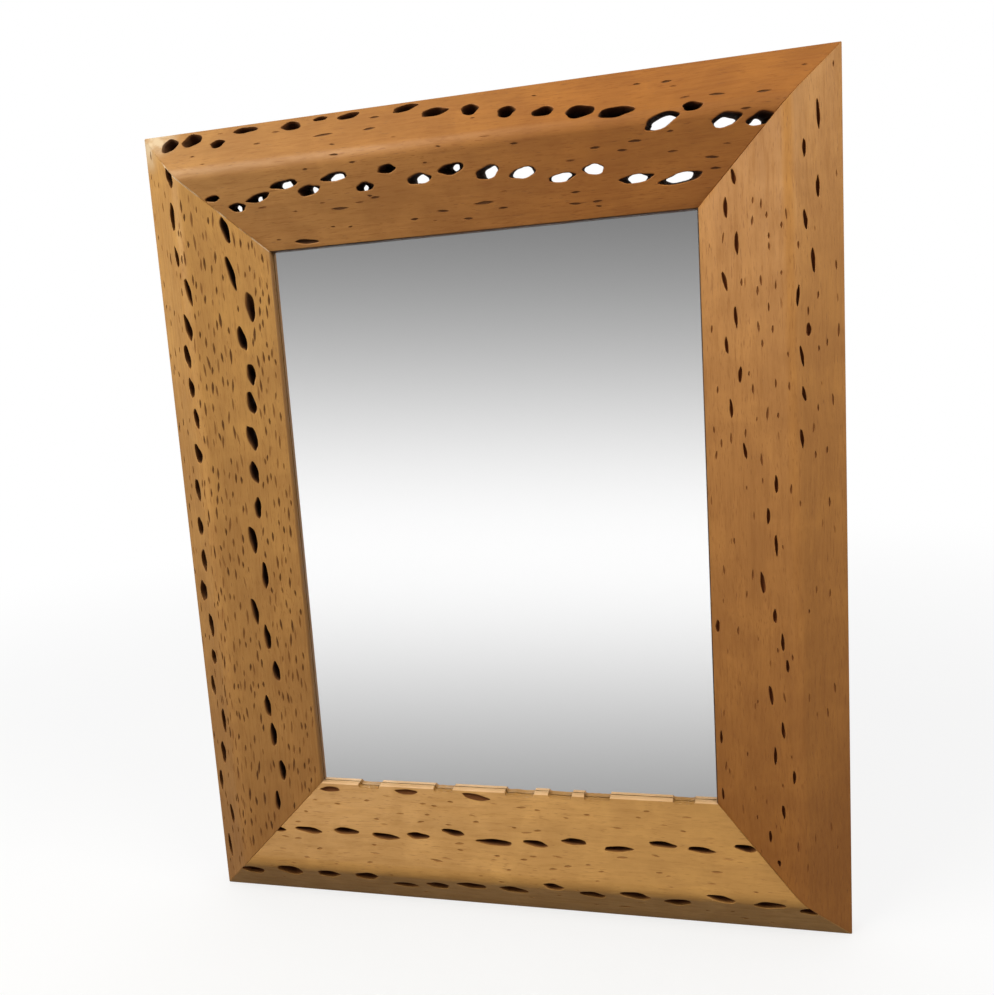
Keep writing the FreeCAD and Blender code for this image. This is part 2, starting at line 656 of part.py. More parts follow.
def make_splines():
    """The flat almond of hard wood that is glued across each mitre."""
    half, edge, radius = value("spline_half"), value("spline_edge"), value("spline_radius")
    swing = math.asin(half / radius)
    for member in MEMBERS:
        body = new_body(member.corner + "_spline_blank")
        outline = sketch_on(body, "Almond", "XY_Plane")
        for up in (1, -1):
            centre = FreeCAD.Vector(0, up * (edge - radius), 0)
            middle = up * math.pi / 2
            arc = Part.ArcOfCircle(Part.Circle(centre, Z_AXIS, radius), middle - swing, middle + swing)
            outline.addGeometry(arc, False)
        join(outline, 0, START, 1, END)
        join(outline, 0, END, 1, START)
        pin(outline, 0, START, "spline_half", "zero")
        pin(outline, 0, END, "-spline_half", "zero")
        set_radius(outline, 0, "spline_radius")
        set_radius(outline, 1, "spline_radius")
        pad(body, outline, "Spline", "spline_thickness")
        inward_x = " + spline_inset" if member.start_x == "-half_width" else " - spline_inset"
        inward_z = " + spline_inset" if member.start_z == "0" else " - spline_inset"
        place(body, member.start_x + inward_x, "back_plane - spline_back", member.start_z + inward_z,
              member_rotation(member).multiply(turned_about(Z_AXIS, QUARTER / 2)))
        keep(body, member.corner + "_spline")


def make_plate():
    """The glass, the silvering on its back and the board that covers both."""
    layers = [("mirror_glass", "glass_front", "plate_thickness"),
              ("silvering", "silvering_front", "silvering_thickness"),
              ("back_board", "board_front", "board_thickness")]
    for name, front, thickness in layers:
        layer = doc.addObject("Part::Box", name)
        layer.setExpression("Length", formula("plate_width"))
        layer.setExpression("Width", formula(thickness))
        layer.setExpression("Height", formula("plate_height"))
        place(layer, "-plate_width / 2", front, "plate_inset", FreeCAD.Rotation())
        keep(layer, name)


def make_slips():
    """Two thin slips on each side of the plate, against the wall of the rebate."""
    slips = []
    beside = {"left_stile": "rebate_inset - half_width",
              "right_stile": "half_width - rebate_inset - slip_thickness"}
    level = {"bottom_rail": "rebate_inset", "top_rail": "outer_height - rebate_inset - slip_thickness"}
    for share in SLIP_SHARES:
        along_width = f"{share} * plate_width - plate_width / 2 - slip_length / 2"
        along_height = f"plate_inset + {share} * plate_height - slip_length / 2"
        for member in MEMBERS:
            slip = doc.addObject("Part::Box", member.name + "_slip")
            upright = member.name in beside
            slip.setExpression("Length", formula("slip_thickness" if upright else "slip_length"))
            slip.setExpression("Height", formula("slip_length" if upright else "slip_thickness"))
            slip.setExpression("Width", formula("slip_depth"))
            place(slip, beside.get(member.name, along_width), "glass_front",
                  level.get(member.name, along_height), FreeCAD.Rotation())
            slips.append(slip)
    group = doc.addObject("Part::Compound", "edge_slips")
    group.Links = slips
    keep(group, "edge_slips")


def make_sprigs():
    """Headless sprigs driven into the rebate's wall, lying on the back of the board."""
    body = new_body("sprig")
    outline = sketch_on(body, "Sprig", "XZ_Plane")
    add_polygon(outline, [("zero", "zero"), ("sprig_tip_radius", "zero"),
                          ("sprig_radius", "sprig_taper"), ("sprig_radius", "sprig_length"),
                          ("zero", "sprig_length")])
    revolve(body, outline, "Turned", "Z_Axis")
    doc.recompute()
    sprigs = []
    for member in MEMBERS:
        corner = FreeCAD.Vector(value(member.start_x), value("back_plane"), value(member.start_z))
        station = FreeCAD.Placement(corner, member_rotation(member))
        for along in sprig_places(value(member.length)):
            start = FreeCAD.Vector(along, value("rebate_inset") - value("sprig_hold"), value("sprig_back"))
            sprig = body.Shape.copy()
            sprig.Placement = station.multiply(FreeCAD.Placement(start, turned_about(X_AXIS, -QUARTER)))
            sprigs.append(sprig)
    group = doc.addObject("Part::Feature", "board_sprigs")
    group.Shape = Part.makeCompound(sprigs)
    keep(group, "board_sprigs")


def make_strap(body):
    """A strap folded double round the ring's bar, drawn about the hinge axis."""
    outline = sketch_on(body, "Fold", "XZ_Plane")
    centre = FreeCAD.Vector(0, 0, 0)
    radius = value("barrel_radius")
    corners = [("strap_reach", "-hinge_lift"), ("strap_bend", "-hinge_lift"),
               ("strap_bend", "-strap_face_drop"), ("strap_reach", "-strap_face_drop")]
    tail_low, bend_low, bend_high, tail_high = [point(*corner) for corner in corners]
    low_angle = tangent_angle(centre, radius, bend_low, -1)
    high_angle = tangent_angle(centre, radius, bend_high, 1)
    foot, rise, barrel, fall, face, tail = range(6)
    lines = [
        Part.LineSegment(tail_low, bend_low),
        Part.LineSegment(bend_low, on_circle(centre, radius, low_angle)),
        Part.ArcOfCircle(Part.Circle(centre, Z_AXIS, radius), high_angle, low_angle + math.tau),
        Part.LineSegment(on_circle(centre, radius, high_angle), bend_high),
        Part.LineSegment(bend_high, tail_high),
        Part.LineSegment(tail_high, tail_low),
    ]
    for line in lines:
        outline.addGeometry(line, False)
    join(outline, foot, END, rise, START)
    join(outline, rise, END, barrel, END, "Tangent")
    join(outline, fall, START, barrel, START, "Tangent")
    join(outline, fall, END, face, START)
    join(outline, face, END, tail, START)
    join(outline, tail, END, foot, START)
    for geometry, corner in zip((foot, rise, face, tail), corners):
        pin(outline, geometry, START, *corner)
    pin(outline, barrel, CENTRE, "zero", "zero")
    set_radius(outline, barrel, "barrel_radius")
    add_circle(outline, "zero", "zero", "bore_radius")
    folded = pad(body, outline, "Folded", "strap_width")
    folded.SideType = "Symmetric"
    holes = sketch_on(body, "ScrewHoles", "XY_Plane")
    add_circle(holes, "screw_near", "zero", "screw_radius")
    add_circle(holes, "screw_far", "zero", "screw_radius")
    drilled = cut_through(body, holes, "Drilled")
    doc.recompute()
    ends = []
    for index, edge in enumerate(drilled.Shape.Edges, start=1):
        xs = [vertex.X for vertex in edge.Vertexes]
        heights = [vertex.Z for vertex in edge.Vertexes]
        upright = len(xs) == 2 and abs(heights[0] - heights[1]) > value("strap_metal_thickness")
        if upright and min(xs) > value("strap_reach") - value("strap_metal_thickness"):
            ends.append(f"Edge{index}")
    rounded = body.newObject("PartDesign::Fillet", "RoundedTail")
    rounded.Base = (drilled, ends)
    rounded.setExpression("Radius", formula("strap_corner_radius"))


def make_ring(body):
    """A D-shaped ring of round wire, drawn about the middle of its straight bar."""
    path = sketch_on(body, "Path", "XY_Plane")
    bow_radius = value("bow_radius")
    corner_radius = value("ring_corner_radius")
    side_end = value("side_end")
    bar_low, bar_high = point("zero", "-half_bar"), point("zero", "half_bar")
    upper_start, upper_end = point("-side_start", "bow_radius"), point("-side_end", "bow_radius")
    lower_start, lower_end = point("-side_end", "-bow_radius"), point("-side_start", "-bow_radius")
    upper_corner = Part.Circle(point("-ring_corner_radius", "half_bar"), Z_AXIS, corner_radius)
    lower_corner = Part.Circle(point("-ring_corner_radius", "-half_bar"), Z_AXIS, corner_radius)
    bow = Part.Circle(point("-side_end", "zero"), Z_AXIS, bow_radius)
    quarter = math.pi / 2
    lines = [
        Part.LineSegment(bar_low, bar_high),
        Part.ArcOfCircle(upper_corner, 0, quarter),
        Part.LineSegment(upper_start, upper_end),
        Part.ArcOfCircle(bow, quarter, 3 * quarter),
        Part.LineSegment(lower_start, lower_end),
        Part.ArcOfCircle(lower_corner, 3 * quarter, 4 * quarter),
    ]
    for line in lines:
        path.addGeometry(line, False)
    for index in range(len(lines)):
        join(path, index, END, (index + 1) % len(lines), START)
    pin(path, 0, START, "zero", "-half_bar")
    pin(path, 0, END, "zero", "half_bar")
    pin(path, 2, START, "-side_start", "bow_radius")
    pin(path, 2, END, "-side_end", "bow_radius")
    pin(path, 4, START, "-side_end", "-bow_radius")
    pin(path, 4, END, "-side_start", "-bow_radius")
    set_radius(path, 1, "ring_corner_radius")
    set_radius(path, 5, "ring_corner_radius")
    bow_centre = path.addConstraint(Sketcher.Constraint("DistanceX", *ORIGIN_POINT, 3, CENTRE, -side_end))
    path.setExpression(f"Constraints[{bow_centre}]", formula("-side_end"))
    wire = sketch_on(body, "Wire", "XZ_Plane")
    add_circle(wire, "zero", "zero", "wire_radius")
    doc.recompute()
    ring = body.newObject("PartDesign::AdditivePipe", "Bent")
    ring.Profile = wire
    ring.Spine = (path, [f"Edge{index + 1}" for index in range(len(lines))])


def make_screws(body):
    """Two round-head screws, drawn from the top of the strap down."""
    outline = sketch_on(body, "Screw", "XZ_Plane")
    corners = [("zero", "-screw_length"), ("screw_radius", "-screw_shank"), ("screw_radius", "zero"),
               ("screw_head_radius", "zero"), ("zero", "screw_head_height")]
    tip, shoulder, neck, rim, crown = [point(*corner) for corner in corners]
    dome_radius = value("screw_dome_radius")
    dome_centre = FreeCAD.Vector(0, value("screw_head_height") - dome_radius, 0)
    rim_angle = math.atan2(rim.y - dome_centre.y, rim.x)
    taper, shank, underside, dome, axis = range(5)
    lines = [
        Part.LineSegment(tip, shoulder), Part.LineSegment(shoulder, neck), Part.LineSegment(neck, rim),
        Part.ArcOfCircle(Part.Circle(dome_centre, Z_AXIS, dome_radius), rim_angle, math.pi / 2),
        Part.LineSegment(crown, tip),
    ]
    for line in lines:
        outline.addGeometry(line, False)
    for index in range(len(lines)):
        join(outline, index, END, (index + 1) % len(lines), START)
    for geometry, corner in zip((taper, shank, underside, dome, axis), corners):
        pin(outline, geometry, START, *corner)
    set_radius(outline, dome, "screw_dome_radius")
    turned = revolve(body, outline, "Turned", "Z_Axis")
    doc.recompute()
    pair = body.newObject("PartDesign::LinearPattern", "Pair")
    pair.Originals = [turned]
    pair.Direction = (origin_feature(body, "X_Axis"), [""])
    pair.Occurrences = 2
    pair.setExpression("Length", formula("screw_pitch"))
    body.Tip = pair


def make_hangers():
    """On each stile's back a strap, its ring and its two screws; the ring points inward."""
    height = "outer_height - hanger_drop"
    for name, outward, hinge_x, screw_x in (
            ("left", -X_AXIS, "hinge_inset - half_width", "hinge_inset - half_width - screw_near"),
            ("right", X_AXIS, "half_width - hinge_inset", "half_width - hinge_inset + screw_near")):
        rotation = FreeCAD.Rotation(outward, Y_AXIS.cross(outward), Y_AXIS, "XYZ")
        for piece, make in (("hanger_strap", make_strap), ("hanger_ring", make_ring)):
            body = new_body(name + "_" + piece)
            make(body)
            place(body, hinge_x, "back_plane + hinge_lift", height, rotation)
            keep(body, name + "_" + piece)
        screws = new_body(name + "_hanger_screws")
        make_screws(screws)
        place(screws, screw_x, "back_plane + strap_thickness", height, rotation)
        keep(screws, name + "_hanger_screws")


def make_bumpers():
    """A round bumper behind each lower corner, as deep as the hangers stand out."""
    for name, x_formula in (("left", "bumper_inset - half_width"), ("right", "half_width - bumper_inset")):
        bumper = doc.addObject("Part::Cone", name + "_bumper")
        bumper.setExpression("Radius1", formula("bumper_radius"))
        bumper.setExpression("Radius2", formula("bumper_face_radius"))
        bumper.setExpression("Height", formula("bumper_height"))
        place(bumper, x_formula, "back_plane", "bumper_inset", turned_about(X_AXIS, -QUARTER))
        keep(bumper, name + "_bumper")


def check(things):
    """Stop if any object failed to build or any piece is not a sound solid."""
    failed = [thing.Name for thing in doc.Objects if {"Invalid", "Error"} & set(thing.State)]
    if failed:
        raise SystemExit(f"these objects failed: {failed}")
    for thing in things:
        shape = thing.Shape
        if shape.isNull() or not shape.isValid() or not shape.Solids:
            raise SystemExit(f"{thing.Label} has no sound solid")


make_members()
make_corner_nails()
make_splines()
make_plate()
make_slips()
make_sprigs()
make_hangers()
make_bumpers()
doc.recompute()
check(nodes)
os.makedirs("parts", exist_ok=True)
for node in nodes:
    node.Shape.exportStep(f"parts/{node.Label}.step")
    box = node.Shape.BoundBox
    print(f"{node.Label}: {len(node.Shape.Solids)} solid(s), {node.Shape.Volume:.1f} mm3, "
          f"x {box.XMin:.2f} to {box.XMax:.2f}, y {box.YMin:.2f} to {box.YMax:.2f}, "
          f"z {box.ZMin:.2f} to {box.ZMax:.2f}")
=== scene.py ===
import logging
import math
from collections.abc import Callable, Iterable, Sequence
from dataclasses import dataclass
from enum import Enum

import bpy
import numpy as np
from mathutils import Matrix, Vector


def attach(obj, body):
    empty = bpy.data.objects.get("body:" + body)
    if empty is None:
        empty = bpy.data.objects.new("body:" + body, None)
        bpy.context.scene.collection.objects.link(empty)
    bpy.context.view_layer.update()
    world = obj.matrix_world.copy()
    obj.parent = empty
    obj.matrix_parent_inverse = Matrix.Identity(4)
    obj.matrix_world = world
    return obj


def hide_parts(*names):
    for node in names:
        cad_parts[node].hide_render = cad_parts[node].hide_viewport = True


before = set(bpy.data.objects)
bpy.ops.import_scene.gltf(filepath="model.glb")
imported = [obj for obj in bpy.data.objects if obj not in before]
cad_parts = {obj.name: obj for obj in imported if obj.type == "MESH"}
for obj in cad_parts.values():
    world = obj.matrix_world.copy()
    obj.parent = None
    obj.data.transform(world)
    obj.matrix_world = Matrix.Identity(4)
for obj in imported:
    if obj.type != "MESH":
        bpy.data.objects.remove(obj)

# A wall mirror in a mitred frame of porous cactus wood. Sizes are in millimetres unless a name
# says otherwise; a mesh is turned into metres when it becomes a piece.

LOG = logging.getLogger("mirror")
MM = 0.001
BACK_PLANE = 9.5
FRAME_WIDTH = 456.0
FRAME_HEIGHT = 556.0
HALF_WIDTH = FRAME_WIDTH / 2
FRAME_BODY = "frame"
WHITE = (1.0, 1.0, 1.0, 1.0)

Colour = tuple[float, float, float, float]
Pair = tuple[float, float]
Triple = tuple[float, float, float]
Mesh = tuple[list[Triple], list[Sequence[int]]]


def shade(red: float, green: float, blue: float) -> Colour:
    """A colour as the shaders take it.

    Args:
        red: The display value of its red, 0 to 255.
        green: That of its green.
        blue: That of its blue.

    Returns:
        The colour in linear light, opaque.
    """
    def light(value: float) -> float:
        """One display value as a share of full light."""
        share = value / 255.0
        return share / 12.92 if share <= 0.04045 else ((share + 0.055) / 1.055) ** 2.4
    return light(red), light(green), light(blue), 1.0


# ---------------------------------------------------------------------------------------------
# Nodes
# ---------------------------------------------------------------------------------------------

class Wire:
    """An output of a node. Python's operators on it add Math nodes."""

    def __init__(self, bench: "Bench", socket: bpy.types.NodeSocket) -> None:
        """Keep a socket, and the bench whose tree it belongs to."""
        self.bench = bench
        self.socket = socket

    def maths(self, operation: str, *levels: "Level") -> "Wire":
        """Add one Math node.

        Args:
            operation: The Math node's operation.
            levels: What its sockets take, in their order.

        Returns:
            The node's output.
        """
        return self.bench.node("ShaderNodeMath", {"operation": operation}, dict(enumerate(levels)))

    def __add__(self, other: "Level") -> "Wire":
        """This plus another."""
        return self.maths("ADD", self, other)

    def __radd__(self, other: "Level") -> "Wire":
        """Another plus this."""
        return self.maths("ADD", other, self)

    def __sub__(self, other: "Level") -> "Wire":
        """This less another."""
        return self.maths("SUBTRACT", self, other)

    def __rsub__(self, other: "Level") -> "Wire":
        """Another less this."""
        return self.maths("SUBTRACT", other, self)

    def __mul__(self, other: "Level") -> "Wire":
        """This times another."""
        return self.maths("MULTIPLY", self, other)

    def __rmul__(self, other: "Level") -> "Wire":
        """Another times this."""
        return self.maths("MULTIPLY", other, self)

    def __truediv__(self, other: "Level") -> "Wire":
        """This over another."""
        return self.maths("DIVIDE", self, other)

    def __rtruediv__(self, other: "Level") -> "Wire":
        """Another over this."""
        return self.maths("DIVIDE", other, self)

    def __abs__(self) -> "Wire":
        """This without its sign."""
        return self.maths("ABSOLUTE", self)

    def larger(self, other: "Level") -> "Wire":
        """The larger of this and another."""
        return self.maths("MAXIMUM", self, other)

    def smaller(self, other: "Level") -> "Wire":
        """The smaller of this and another."""
        return self.maths("MINIMUM", self, other)


Level = Wire | float | Colour | Triple


class Bench:
    """Lays the nodes of one tree."""

    def __init__(self, tree: bpy.types.NodeTree) -> None:
        """Empty a tree and keep it."""
        tree.nodes.clear()
        self.tree = tree

    @staticmethod
    def find(sockets: Sequence[bpy.types.NodeSocket], key: int | str) -> bpy.types.NodeSocket:
        """Find one socket.

        Args:
            sockets: A node's inputs or its outputs.
            key: The socket's number, identifier or name.

        Returns:
            The socket.
        """
        if isinstance(key, int):
            return sockets[key]
        return next(socket for socket in sockets if key in (socket.identifier, socket.name))

    def node(self, kind: str, settings: dict[str, object] | None = None,
             inputs: dict[int | str, Level] | None = None, output: int | str = 0) -> Wire:
        """Add any node.

        Args:
            kind: The node's type.
            settings: Its settings, which are set before its sockets.
            inputs: A value or a wire for each socket that isn't left as it is.
            output: The output wanted.

        Returns:
            That output.
        """
        made = self.tree.nodes.new(kind)
        for name, setting in (settings or {}).items():
            setattr(made, name, setting)
        for name, level in (inputs or {}).items():
            socket = self.find(made.inputs, name)
            if isinstance(level, Wire):
                self.tree.links.new(level.socket, socket)
            else:
                socket.default_value = level
        return Wire(self, self.find(made.outputs, output))

    def vector(self, operation: str, first: Level, second: Level, output: int | str = 0) -> Wire:
        """Add one Vector Math node on two vectors."""
        return self.node("ShaderNodeVectorMath", {"operation": operation},
                         {0: first, 1: second}, output)

    def part(self, vector: Wire, axis: str) -> Wire:
        """One of the three numbers of a vector."""
        return self.node("ShaderNodeSeparateXYZ", {}, {0: vector}, axis)

    def mix(self, first: Level, second: Level, share: Level, blend: str = "MIX") -> Wire:
        """A colour between two, by the share of the second, or both blended in another way."""
        return self.node("ShaderNodeMix", {"data_type": "RGBA", "blend_type": blend},
                         {"Factor_Float": share, "A_Color": first, "B_Color": second},
                         "Result_Color")

    def noise(self, place: Wire, scale: float, detail: float = 3.0, roughness: float = 0.5,
              distortion: float = 0.0) -> Wire:
        """Soft noise at a place.

        Args:
            place: The place, in metres.
            scale: How many patches there are to the metre.
            detail: How many finer layers are added.
            roughness: How strong each finer layer is next to the one before it.
            distortion: How far the patches are twisted.

        Returns:
            The noise, 0 to 1.
        """
        return self.node("ShaderNodeTexNoise", {"noise_dimensions": "3D"},
                         {"Vector": place, "Scale": scale, "Detail": detail,
                          "Roughness": roughness, "Distortion": distortion})

    def cells(self, place: Wire, scale: float, feature: str, output: str) -> Wire:
        """Irregular cells at a place: how far off a middle or an edge is, or a cell's colour."""
        return self.node("ShaderNodeTexVoronoi", {"feature": feature},
                         {"Vector": place, "Scale": scale}, output)

    def between(self, level: Wire, low: float, high: float) -> Wire:
        """How far a level has come from low to high, 0 to 1, eased at both ends."""
        return self.node("ShaderNodeMapRange", {"interpolation_type": "SMOOTHSTEP"},
                         {"Value": level, "From Min": low, "From Max": high})

    def place(self) -> Wire:
        """Where a point is on its piece, in metres."""
        return self.node("ShaderNodeTexCoord", output="Object")

    def attribute(self, name: str) -> Wire:
        """A number that is kept with the mesh."""
        return self.node("ShaderNodeAttribute", {"attribute_name": name}, output="Fac")

    def relief(self, height: Wire, depth_mm: float, strength: float = 1.0) -> Wire:
        """A normal that shows a height of 0 to 1 as this deep a relief."""
        return self.node("ShaderNodeBump", {}, {"Height": height, "Strength": strength,
                                                "Distance": depth_mm * MM})

    def either(self, share: Wire, first: Wire, second: Wire) -> Wire:
        """A shader between two, by the share of the second."""
        return self.node("ShaderNodeMixShader", {}, {0: share, 1: first, 2: second})

    def by_ray(self, seen: Level, mirrored: Level, lit: Level) -> Wire:
        """A level that goes by who asks for it.

        Args:
            seen: The level for the camera.
            mirrored: The level for a reflection, or for a look through clear glass.
            lit: The level for the light itself.

        Returns:
            The level for the ray at hand.
        """
        camera = self.node("ShaderNodeLightPath", output="Is Camera Ray")
        glossy = self.node("ShaderNodeLightPath", output="Is Glossy Ray")
        through = self.node("ShaderNodeLightPath", output="Is Transmission Ray")
        polished = glossy.larger(through)
        return camera * seen + (1.0 - camera) * (polished * mirrored + (1.0 - polished) * lit)

    def finish(self, sockets: dict[str, Level]) -> None:
        """Close a material with one Principled shader that has these sockets set."""
        self.show(self.node("ShaderNodeBsdfPrincipled", {}, sockets))

    def show(self, shader: Wire, kind: str = "ShaderNodeOutputMaterial") -> None:
        """Close a tree with its output node."""
        self.tree.links.new(shader.socket, self.tree.nodes.new(kind).inputs["Surface"])


class Finish:
    """What every finish has: a name, and a material that is made once."""

    name: str
    made: dict[str, bpy.types.Material] = {}

    def lay(self, bench: Bench) -> None:
        """Lay the nodes of this finish."""
        raise NotImplementedError

    def material(self) -> bpy.types.Material:
        """The finish as a material.

        Returns:
            The material, which is made the first time it is asked for.
        """
        if self.name not in Finish.made:
            material = bpy.data.materials.new(self.name)
            material.use_nodes = True
            self.lay(Bench(material.node_tree))
            Finish.made[self.name] = material
        return Finish.made[self.name]


# ---------------------------------------------------------------------------------------------
# Finishes
# ---------------------------------------------------------------------------------------------

class Grain(Enum):
    """Which way the wood's grain runs, as how much finer it is along each axis."""

    LEVEL = (1.0, 9.0, 9.0)
    UPRIGHT = (9.0, 9.0, 1.0)


@dataclass(frozen=True)
class Figure:
    """The patterns of a length of wood, each 0 to 1."""

    broad: Wire
    streaks: Wire
    fibres: Wire
    clouds: Wire
    dashes: Wire
    specks: Wire
    sparse_specks: Wire


@dataclass(frozen=True)
class CactusWood(Finish):
    """Waxed cactus wood: streaks along the grain, and pores that are dark inside, partly in their
    own colour and partly in painted shade.
    """

    name: str
    grain: Grain
    pale: Colour
    golden: Colour
    deep: Colour
    sample: float
    # painted shade: this tint, its axis and its places darken each member towards one end, as light
    # falling off along it would
    far_shade_tint: Colour = WHITE
    far_axis: Triple = (0.0, 0.0, 1.0)
    far_start: float = 0.50
    far_end: float = 0.05
    # the colour deep in pores: the walls' own darker brown with painted shade in it
    inside: Colour = shade(88, 57, 34)
    rust: Colour = shade(118, 66, 28)
    raw: Colour = shade(186, 152, 108)
    # the sight edge's colour: pale on the bottom rail; on the top rail and the right stile a dark
    # painted shadow line where the wood meets the mirror
    edge: Colour = shade(196, 152, 102)
    glued: bool = False
    dried_glue: Colour = shade(226, 206, 176)
    smear_place: Triple = (-0.219, -0.012, 0.551)
    wander: float = 0.05
    wax: float = 0.08

    def lay(self, bench: Bench) -> None:
        """Lay the wood's colour, its darker pores, the raw back and the wax on its face.

        Args:
            bench: The bench of the material's own tree.
        """
        place = bench.place()
        figure = self.figure(bench, place)
        # painted shade: the colour is tinted darker towards one end of the member, standing in for
        # light that falls off along it
        colour = bench.mix(self.face_colour(bench, figure), self.far_shade_tint,
                           self.far_shade_share(bench, place), "MULTIPLY")
        unwaxed = bench.between(bench.part(place, "Y"),
                                (BACK_PLANE - 0.7) * MM, (BACK_PLANE - 0.1) * MM)
        bare = bench.mix(self.raw, self.deep, figure.streaks * 0.45 + figure.specks * 0.2)
        colour = bench.mix(colour, bare, unwaxed * 0.7)
        if self.glued:
            colour = bench.mix(colour, self.dried_glue, self.glue(bench, place))
        # the sight edge takes its own colour; on the top rail and the right stile that colour is a
        # dark painted shadow line along the mirror
        colour = bench.mix(colour, self.edge,
                           bench.attribute("edge") * (0.70 + 0.3 * figure.clouds))
        # pores darken with depth, partly in their walls' own colour and partly in painted shade;
        # flecks darken in their own colour
        stain_and_shade = bench.attribute("stain_and_shade")
        colour = bench.mix(colour, self.pore_colour(bench, figure, stain_and_shade), stain_and_shade)
        rough = 0.40 + 0.14 * figure.streaks + 0.10 * (1.0 - figure.clouds) + 0.30 * unwaxed
        height = figure.fibres * 0.35 + figure.streaks * 0.25 - figure.sparse_specks * 0.5
        bench.finish({"Base Color": colour, "Roughness": (rough + stain_and_shade * 0.45).smaller(0.95),
                      "Normal": bench.relief(height, 0.35, 0.55), "Specular IOR Level": 0.36,
                      "Coat Weight": (self.wax - self.wax * unwaxed) * (1.0 - stain_and_shade),
                      "Coat Roughness": 0.34})

    def figure(self, bench: Bench, place: Wire) -> Figure:
        """The patterns that this length of wood shows.

        Args:
            bench: The tree's bench.
            place: Where a point is.

        Returns:
            The patterns, all but the clouds drawn out along the grain.
        """
        moved_on = (self.sample, self.sample * 0.7, self.sample * 1.3)
        own = bench.vector("ADD", place, moved_on)
        bent = bench.noise(own, 9.0, 2.0)
        bends = bench.node("ShaderNodeCombineXYZ", {}, {0: bent, 1: bent, 2: bent})
        along = bench.vector("ADD", bench.vector("MULTIPLY", own, self.grain.value),
                             bench.vector("MULTIPLY", bends, (self.wander,) * 3))
        finer = bench.vector("MULTIPLY", along, self.grain.value)
        specks = 1.0 - bench.between(bench.cells(along, 105.0, "F1", "Distance"), 0.10, 0.24)
        sparse = bench.between(bench.noise(along, 60.0, 2.0), 0.52, 0.62)
        return Figure(
            broad=bench.between(bench.noise(along, 7.0, 3.0, 0.55), 0.33, 0.68),
            streaks=bench.between(bench.noise(along, 42.0, 5.0, 0.62), 0.40, 0.72),
            fibres=bench.noise(finer, 22.0, 4.0, 0.6),
            clouds=bench.between(bench.noise(own, 32.0, 4.0, 0.55, 0.4), 0.35, 0.70),
            dashes=bench.between(bench.noise(along, 150.0, 2.0, 0.5), 0.56, 0.72),
            specks=specks,
            sparse_specks=specks * sparse)

    def face_colour(self, bench: Bench, figure: Figure) -> Wire:
        """The colour of the waxed face.

        Args:
            bench: The tree's bench.
            figure: The wood's patterns.

        Returns:
            The colour.
        """
        colour = bench.mix(self.golden, self.pale, figure.broad * 0.6 + figure.clouds * 0.4)
        for share in (figure.streaks * 0.30 + (1.0 - figure.clouds) * 0.24,
                      bench.between(figure.fibres, 0.50, 0.80) * 0.26,
                      figure.dashes * (0.40 + 0.35 * figure.broad)):
            colour = bench.mix(colour, self.deep, share)
        return bench.mix(colour, self.inside, figure.sparse_specks * 0.45)

    def pore_colour(self, bench: Bench, figure: Figure, stain_and_shade: Wire) -> Wire:
        """The colour inside pores and flecks; deep in a pore its darkness is partly the wall's own
        colour and partly painted shade.

        Args:
            bench: The tree's bench.
            figure: The wood's patterns.
            stain_and_shade: How deep inside a point is, 0 to 1.

        Returns:
            The colour, from rust at the rim to dark further in.
        """
        dark = bench.mix(self.inside, self.deep, bench.between(figure.fibres, 0.45, 0.8) * 0.35)
        return bench.mix(self.rust, dark, stain_and_shade * stain_and_shade)

    def far_shade_share(self, bench: Bench, place: Wire) -> Wire:
        """How far a point is on the way to the member's darker end, 0 to 1: the share of painted
        shade that stands in for light falling off along the member.
        """
        along = bench.vector("DOT_PRODUCT", place, self.far_axis, "Value")
        return bench.node("ShaderNodeMapRange", {}, {"Value": along, "From Min": self.far_start,
                                                     "From Max": self.far_end})

    def glue(self, bench: Bench, place: Wire) -> Wire:
        """Where the glue has dried that squeezed out of the upper left mitre.

        Args:
            bench: The tree's bench.
            place: Where a point is.

        Returns:
            How thick it is, 0 to 1: a patchy line on the mitre, and a smear at its outer end.
        """
        across = bench.vector("DOT_PRODUCT", place, (1.0, 0.0, 1.0), "Value")
        off = abs(across - (FRAME_HEIGHT - HALF_WIDTH) * MM)
        patchy = bench.between(bench.noise(place, 90.0, 3.0), 0.40, 0.58)
        line = (1.0 - bench.between(off, 0.25 * MM, 0.9 * MM)) * patchy * 0.7
        away = bench.vector("DISTANCE", place, self.smear_place, "Value")
        smear = (1.0 - bench.between(away, 4.0 * MM, 24.0 * MM)) * (0.30 + 0.45 * patchy)
        return line.larger(smear)


@dataclass(frozen=True)
class PlateGlass(Finish):
    """Clear float glass with ground edges."""

    name: str = "plate_glass"

    def lay(self, bench: Bench) -> None:
        """Lay clear glass that is matt at its ground edges.

        Args:
            bench: The bench of the material's own tree.
        """
        ground = bench.attribute("ground")
        haze = bench.noise(bench.place(), 700.0, 2.0)
        bench.finish({"Base Color": bench.mix(WHITE, shade(196, 226, 210), ground),
                      "Roughness": ground * (0.35 + 0.2 * haze), "IOR": 1.45,
                      "Transmission Weight": 1.0})


@dataclass(frozen=True)
class Silvering(Finish):
    """The bright back of the plate, painted on its far side."""

    name: str = "silvering"
    bright: Colour = (0.985, 0.985, 0.985, 1.0)
    paint_start: float = 1.12
    paint_end: float = 1.2

    def lay(self, bench: Bench) -> None:
        """Lay bright metal with the backing paint's grey on its far side.

        Args:
            bench: The bench of the material's own tree.
        """
        place = bench.place()
        painted = bench.between(bench.part(place, "Y"), self.paint_start * MM, self.paint_end * MM)
        paint = bench.mix(shade(92, 98, 104), shade(118, 124, 130), bench.noise(place, 160.0, 4.0))
        bench.finish({"Base Color": bench.mix(self.bright, paint, painted),
                      "Metallic": 1.0 - painted, "Roughness": painted * 0.5})


